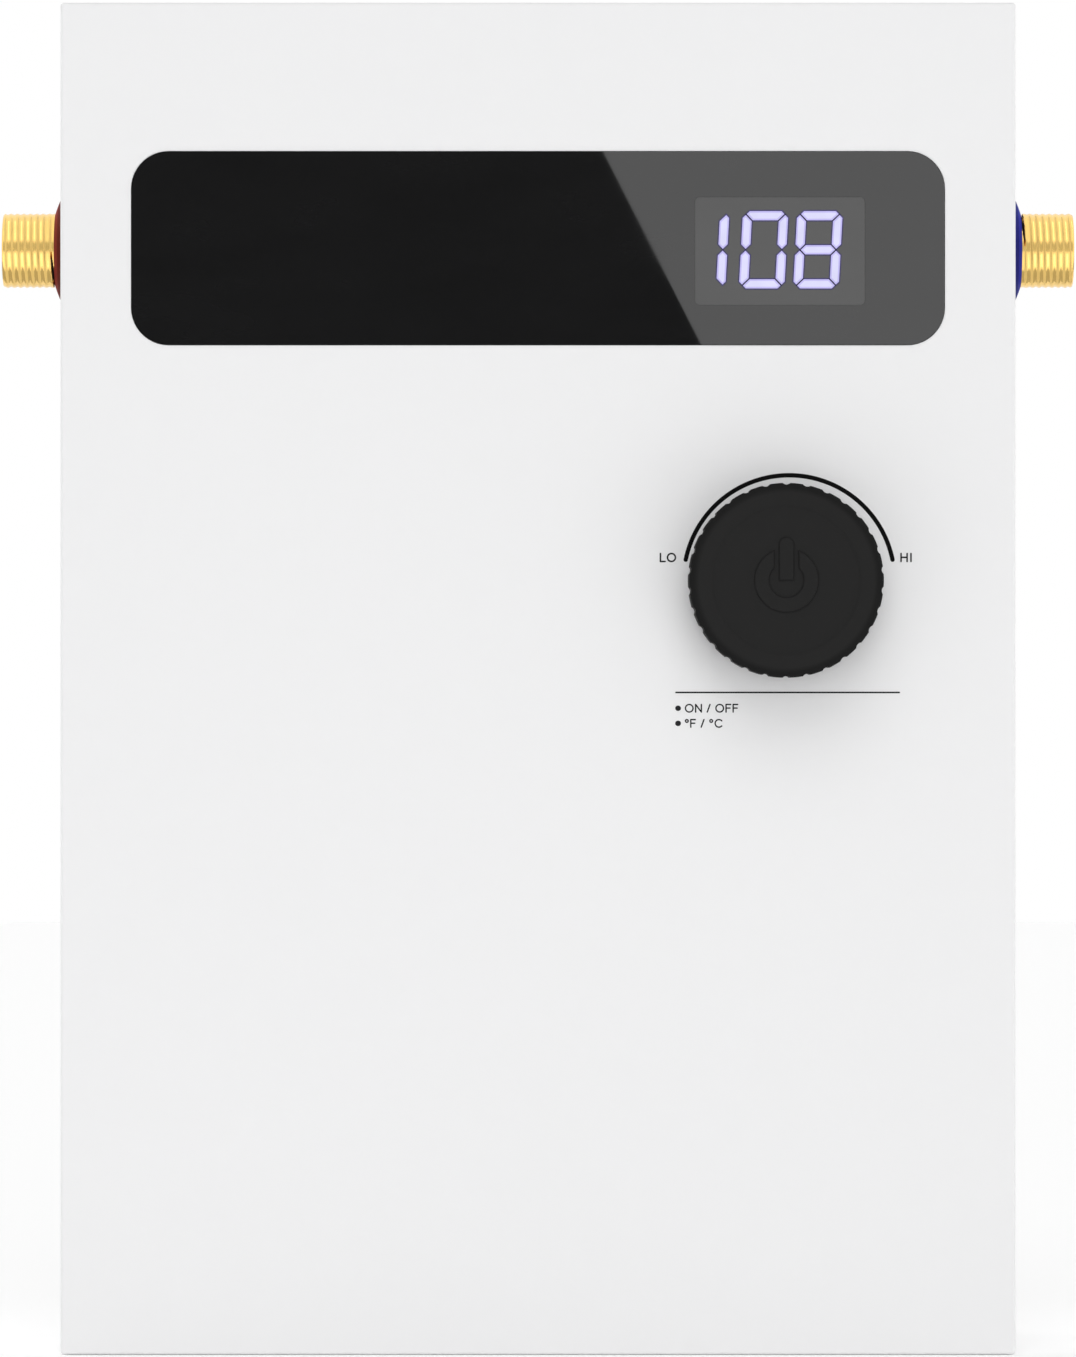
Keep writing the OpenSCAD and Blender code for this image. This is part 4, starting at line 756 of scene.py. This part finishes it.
def thread_radius(along, turn, crest_r):
    """Radius of the thread: a right-handed wave, one to a pitch, that starts from a plain neck."""
    phase = along / thread_pitch - thread_phase - turn
    depth = thread_depth * min(1.0, run_out_share + (1 - run_out_share) * (along - thread_start) / run_out)
    wave_r = crest_r - depth * (0.5 + 0.5 * math.cos(2 * math.pi * phase))
    round_neck = (turn - neck_turn) % 1.0
    neck_end = neck_low + thread_pitch * round_neck
    neck_start = neck_end - thread_pitch * (1 - round_neck) / neck_taper
    inside = min(neck_end - along, along - neck_start)
    neck_share = min(1.0, max(0.0, 0.5 + inside / neck_blend))
    return wave_r + (neck_r - wave_r) * neck_share


def hex_radius(turn):
    """Radius of the hexagonal flange in a direction; its corners are at whole sixths of a turn."""
    sixth = (turn * 6) % 1.0 - 0.5
    return flange_r * math.cos(math.pi / 6) / math.cos(sixth * math.pi / 3)


def fitting_profile(tail, nose, crest_r, bore_r):
    """Rings from the tail round the outside to the nose and back through the bore, as places and radii."""
    thread_end = nose - nose_chamfer
    steps = round((thread_end - thread_start) / thread_pitch * steps_per_turn)
    rings = [(a, lambda turn: tail_r) for a in (tail, flange_back)]
    rings += [(a, hex_radius) for a in (flange_back, flange_front)]
    rings += [(a, lambda turn: shank_r) for a in (flange_front, thread_start)]
    for k in range(steps + 1):
        a = thread_start + (thread_end - thread_start) * k / steps
        rings.append((a, lambda turn, a=a: thread_radius(a, turn, crest_r)))
    face_r = crest_r - nose_chamfer
    rings.append((nose, lambda turn: min(face_r, thread_radius(thread_end, turn, crest_r))))
    rings.append((nose, lambda turn: bore_r + nose_chamfer / 2))
    rings += [(a, lambda turn: bore_r) for a in (nose - nose_chamfer / 2, tail)]
    return rings


def fitting_ring(shape, centre, outwards, along, radius):
    """Ring of points round a fitting's axis, turning from the back."""
    across, up = Vector((0, 1, 0)), Vector((0, 0, outwards.x))
    ring = []
    for k in range(fitting_sides):
        turn = k / fitting_sides
        out = across * math.cos(2 * math.pi * turn) + up * math.sin(2 * math.pi * turn)
        ring.append(shape.verts.new(centre + (outwards * along + out * radius(turn)) * MM))
    return ring


def paint_neck_shade(shape, centre, outwards):
    """Gives the faces of the neck behind the thread the second, black finish, as painted shade in the gap
    behind the thread.
    """
    for face in shape.faces:
        offset = (face.calc_center_median() - centre) / MM
        along = offset.dot(outwards)
        radius = (offset - outwards * along).length
        if 0 < along - thread_start < neck_room and abs(radius - neck_r) < neck_margin:
            face.material_index = 1


def water_fitting(name, node, thread, bore):
    """Brass fitting with a wound pipe thread, in the place of the plain one."""
    low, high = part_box(node)
    outwards = Vector(mounts[thread]["axis"])
    middle = Vector(mounts[thread]["pos_m"])
    wall = abs(middle.x) - (mounts[thread]["dims"]["length_mm"] / 2 + thread_wall_gap) * MM
    nose = (max(abs(low.x), abs(high.x)) - wall) / MM
    tail = (min(abs(low.x), abs(high.x)) - wall) / MM
    centre = Vector((wall * outwards.x, middle.y, middle.z))
    profile = fitting_profile(tail, nose, mounts[thread]["dims"]["r_mm"], mounts[bore]["dims"]["r_mm"])
    shape = bmesh.new()
    loops = [fitting_ring(shape, centre, outwards, along, radius) for along, radius in profile]
    for a, b in zip(loops, loops[1:] + loops[:1]):
        skin(shape, a, b)
    # Painted shade: the neck's faces take the black second finish
    paint_neck_shade(shape, centre, outwards)
    made = piece(name, mesh_of(name, shape, smooth_angle=40), [finish["brass"], finish["gasket_black"]])
    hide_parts(node)


def make_camera():
    """Camera in front of the object, level with its middle."""
    data = bpy.data.cameras.new("camera")
    data.lens = camera_lens
    camera = bpy.data.objects.new("camera", data)
    camera.location = (0, camera_y, 0)
    camera.rotation_euler = (math.radians(90), 0, 0)
    bpy.context.scene.collection.objects.link(camera)
    bpy.context.scene.camera = camera


def sun(name, direction, level, spread):
    """Even light from far away: direction points to the light, and level is what it adds square on."""
    data = bpy.data.lights.new(name, "SUN")
    data.energy = level * math.pi
    data.angle = math.radians(spread)
    lamp = bpy.data.objects.new(name, data)
    lamp.rotation_mode = "QUATERNION"
    lamp.rotation_quaternion = Vector(direction).to_track_quat("Z", "Y")
    lamp.visible_glossy = False
    bpy.context.scene.collection.objects.link(lamp)


def seen_directly(tree):
    """1 for rays that see the backdrop: from the camera, by reflection or through glass."""
    path = tree.nodes.new("ShaderNodeLightPath")
    first = tree.nodes.new("ShaderNodeMath")
    second = tree.nodes.new("ShaderNodeMath")
    for step in (first, second):
        step.operation = "MAXIMUM"
    tree.links.new(path.outputs["Is Camera Ray"], first.inputs[0])
    tree.links.new(path.outputs["Is Glossy Ray"], first.inputs[1])
    tree.links.new(first.outputs["Value"], second.inputs[0])
    tree.links.new(path.outputs["Is Transmission Ray"], second.inputs[1])
    return second.outputs["Value"]


def make_world():
    """White backdrop, and even light all round."""
    world = bpy.data.worlds.new("studio")
    bpy.context.scene.world = world
    world.use_nodes = True
    tree = world.node_tree
    light = tree.nodes["Background"]
    light.inputs["Color"].default_value = (1, 1, 1, 1)
    light.inputs["Strength"].default_value = ambient_level
    backdrop = tree.nodes.new("ShaderNodeBackground")
    backdrop.inputs["Color"].default_value = (1, 1, 1, 1)
    mix = tree.nodes.new("ShaderNodeMixShader")
    tree.links.new(seen_directly(tree), mix.inputs["Fac"])
    tree.links.new(light.outputs["Background"], mix.inputs[1])
    tree.links.new(backdrop.outputs["Background"], mix.inputs[2])
    tree.links.new(mix.outputs["Shader"], tree.nodes["World Output"].inputs["Surface"])


def flat_sheet(name, corners):
    """A flat four-cornered sheet of the studio."""
    shape = bmesh.new()
    shape.faces.new([shape.verts.new(c) for c in corners])
    made = bpy.data.objects.new(name, mesh_of(name, shape))
    bpy.context.scene.collection.objects.link(made)
    return made


def make_floor():
    """Pale floor that the object stands on; it keeps the object's shadow."""
    ends = ((-1, -1), (1, -1), (1, 1), (-1, 1))
    floor = flat_sheet("floor", [(x * floor_half, y * floor_half, floor_z - floor_gap) for x, y in ends])
    floor.visible_shadow = False
    material = shader("floor_white", Base_Color=(0.92, 0.92, 0.92, 1), Emission_Color=(1, 1, 1, 1),
                      Roughness=0.9, Specular_IOR_Level=0.1)
    tree = material.node_tree
    lift = tree.nodes.new("ShaderNodeMath")
    lift.operation = "MULTIPLY"
    lift.inputs[1].default_value = floor_lift
    tree.links.new(seen_directly(tree), lift.inputs[0])
    wire(material, lift.outputs["Value"], surface(material)["Emission Strength"])
    floor.data.materials.append(material)


def card(name, corners, strength):
    """Sheet that only reflections see."""
    made = flat_sheet(name, corners)
    material = bpy.data.materials.new(name)
    material.use_nodes = True
    tree = material.node_tree
    tree.nodes.remove(tree.nodes["Principled BSDF"])
    glow = tree.nodes.new("ShaderNodeEmission")
    glow.inputs["Color"].default_value = (1, 1, 1, 1)
    glow.inputs["Strength"].default_value = strength
    tree.links.new(glow.outputs["Emission"], tree.nodes["Material Output"].inputs["Surface"])
    made.data.materials.append(material)
    made.visible_camera = False
    made.visible_diffuse = False
    made.visible_shadow = False


def panel_card(name, outline, strength):
    """Card behind the camera that shows in the panel with the given outline."""
    panel_y = panel_low.y
    reach = (2 * panel_y - camera_y - card_y) / (panel_y - camera_y)
    card(name, [(x * reach, card_y, z * reach) for x, z in outline], strength)


def panel_cards():
    """Dark and light cards for the gloss panel, with a slanting edge between them."""
    left, right = panel_low.x - card_room, panel_high.x + card_room
    top, bottom = panel_high.z + card_room, panel_low.z - card_room
    edge_top = glare_top_x * MM - card_room * glare_slope
    edge_bottom = edge_top + (top - bottom) * glare_slope
    dark = [(left, top), (edge_top, top), (edge_bottom, bottom), (left, bottom)]
    light = [(edge_top, top), (right, top), (right, bottom), (edge_bottom, bottom)]
    panel_card("dark_card", dark, shade_strength)
    panel_card("light_card", light, glare_strength)


def metal_cards():
    """Bands across the width of the studio for the metal, and strips in front of them on both sides."""
    for name, start, stop, strength in BANDS:
        ends = ((-band_reach, start), (band_reach, start), (band_reach, stop), (-band_reach, stop))
        card(name, [(x, y, z) for x, (y, z) in ends], strength)
    for side, ending in ((-1, "_left"), (1, "_right")):
        for name, corners, z, strength in STRIPS:
            card(name + ending, [(side * x, y, z) for x, y in corners], strength)


make_camera()
make_world()
make_floor()
panel_cards()
metal_cards()
for name, direction, level, spread in SUNS:
    sun(name, direction, level, spread)
dress_nodes()
round_edges()
printed_marks()
lit_bars()
power_sign()
sprung_dome()
water_fitting("cold_water_fitting", "inlet_fitting", "inlet_thread", "inlet_bore")
water_fitting("hot_water_fitting", "outlet_fitting", "outlet_thread", "outlet_bore")

bpy.context.scene.view_settings.view_transform = "Standard"
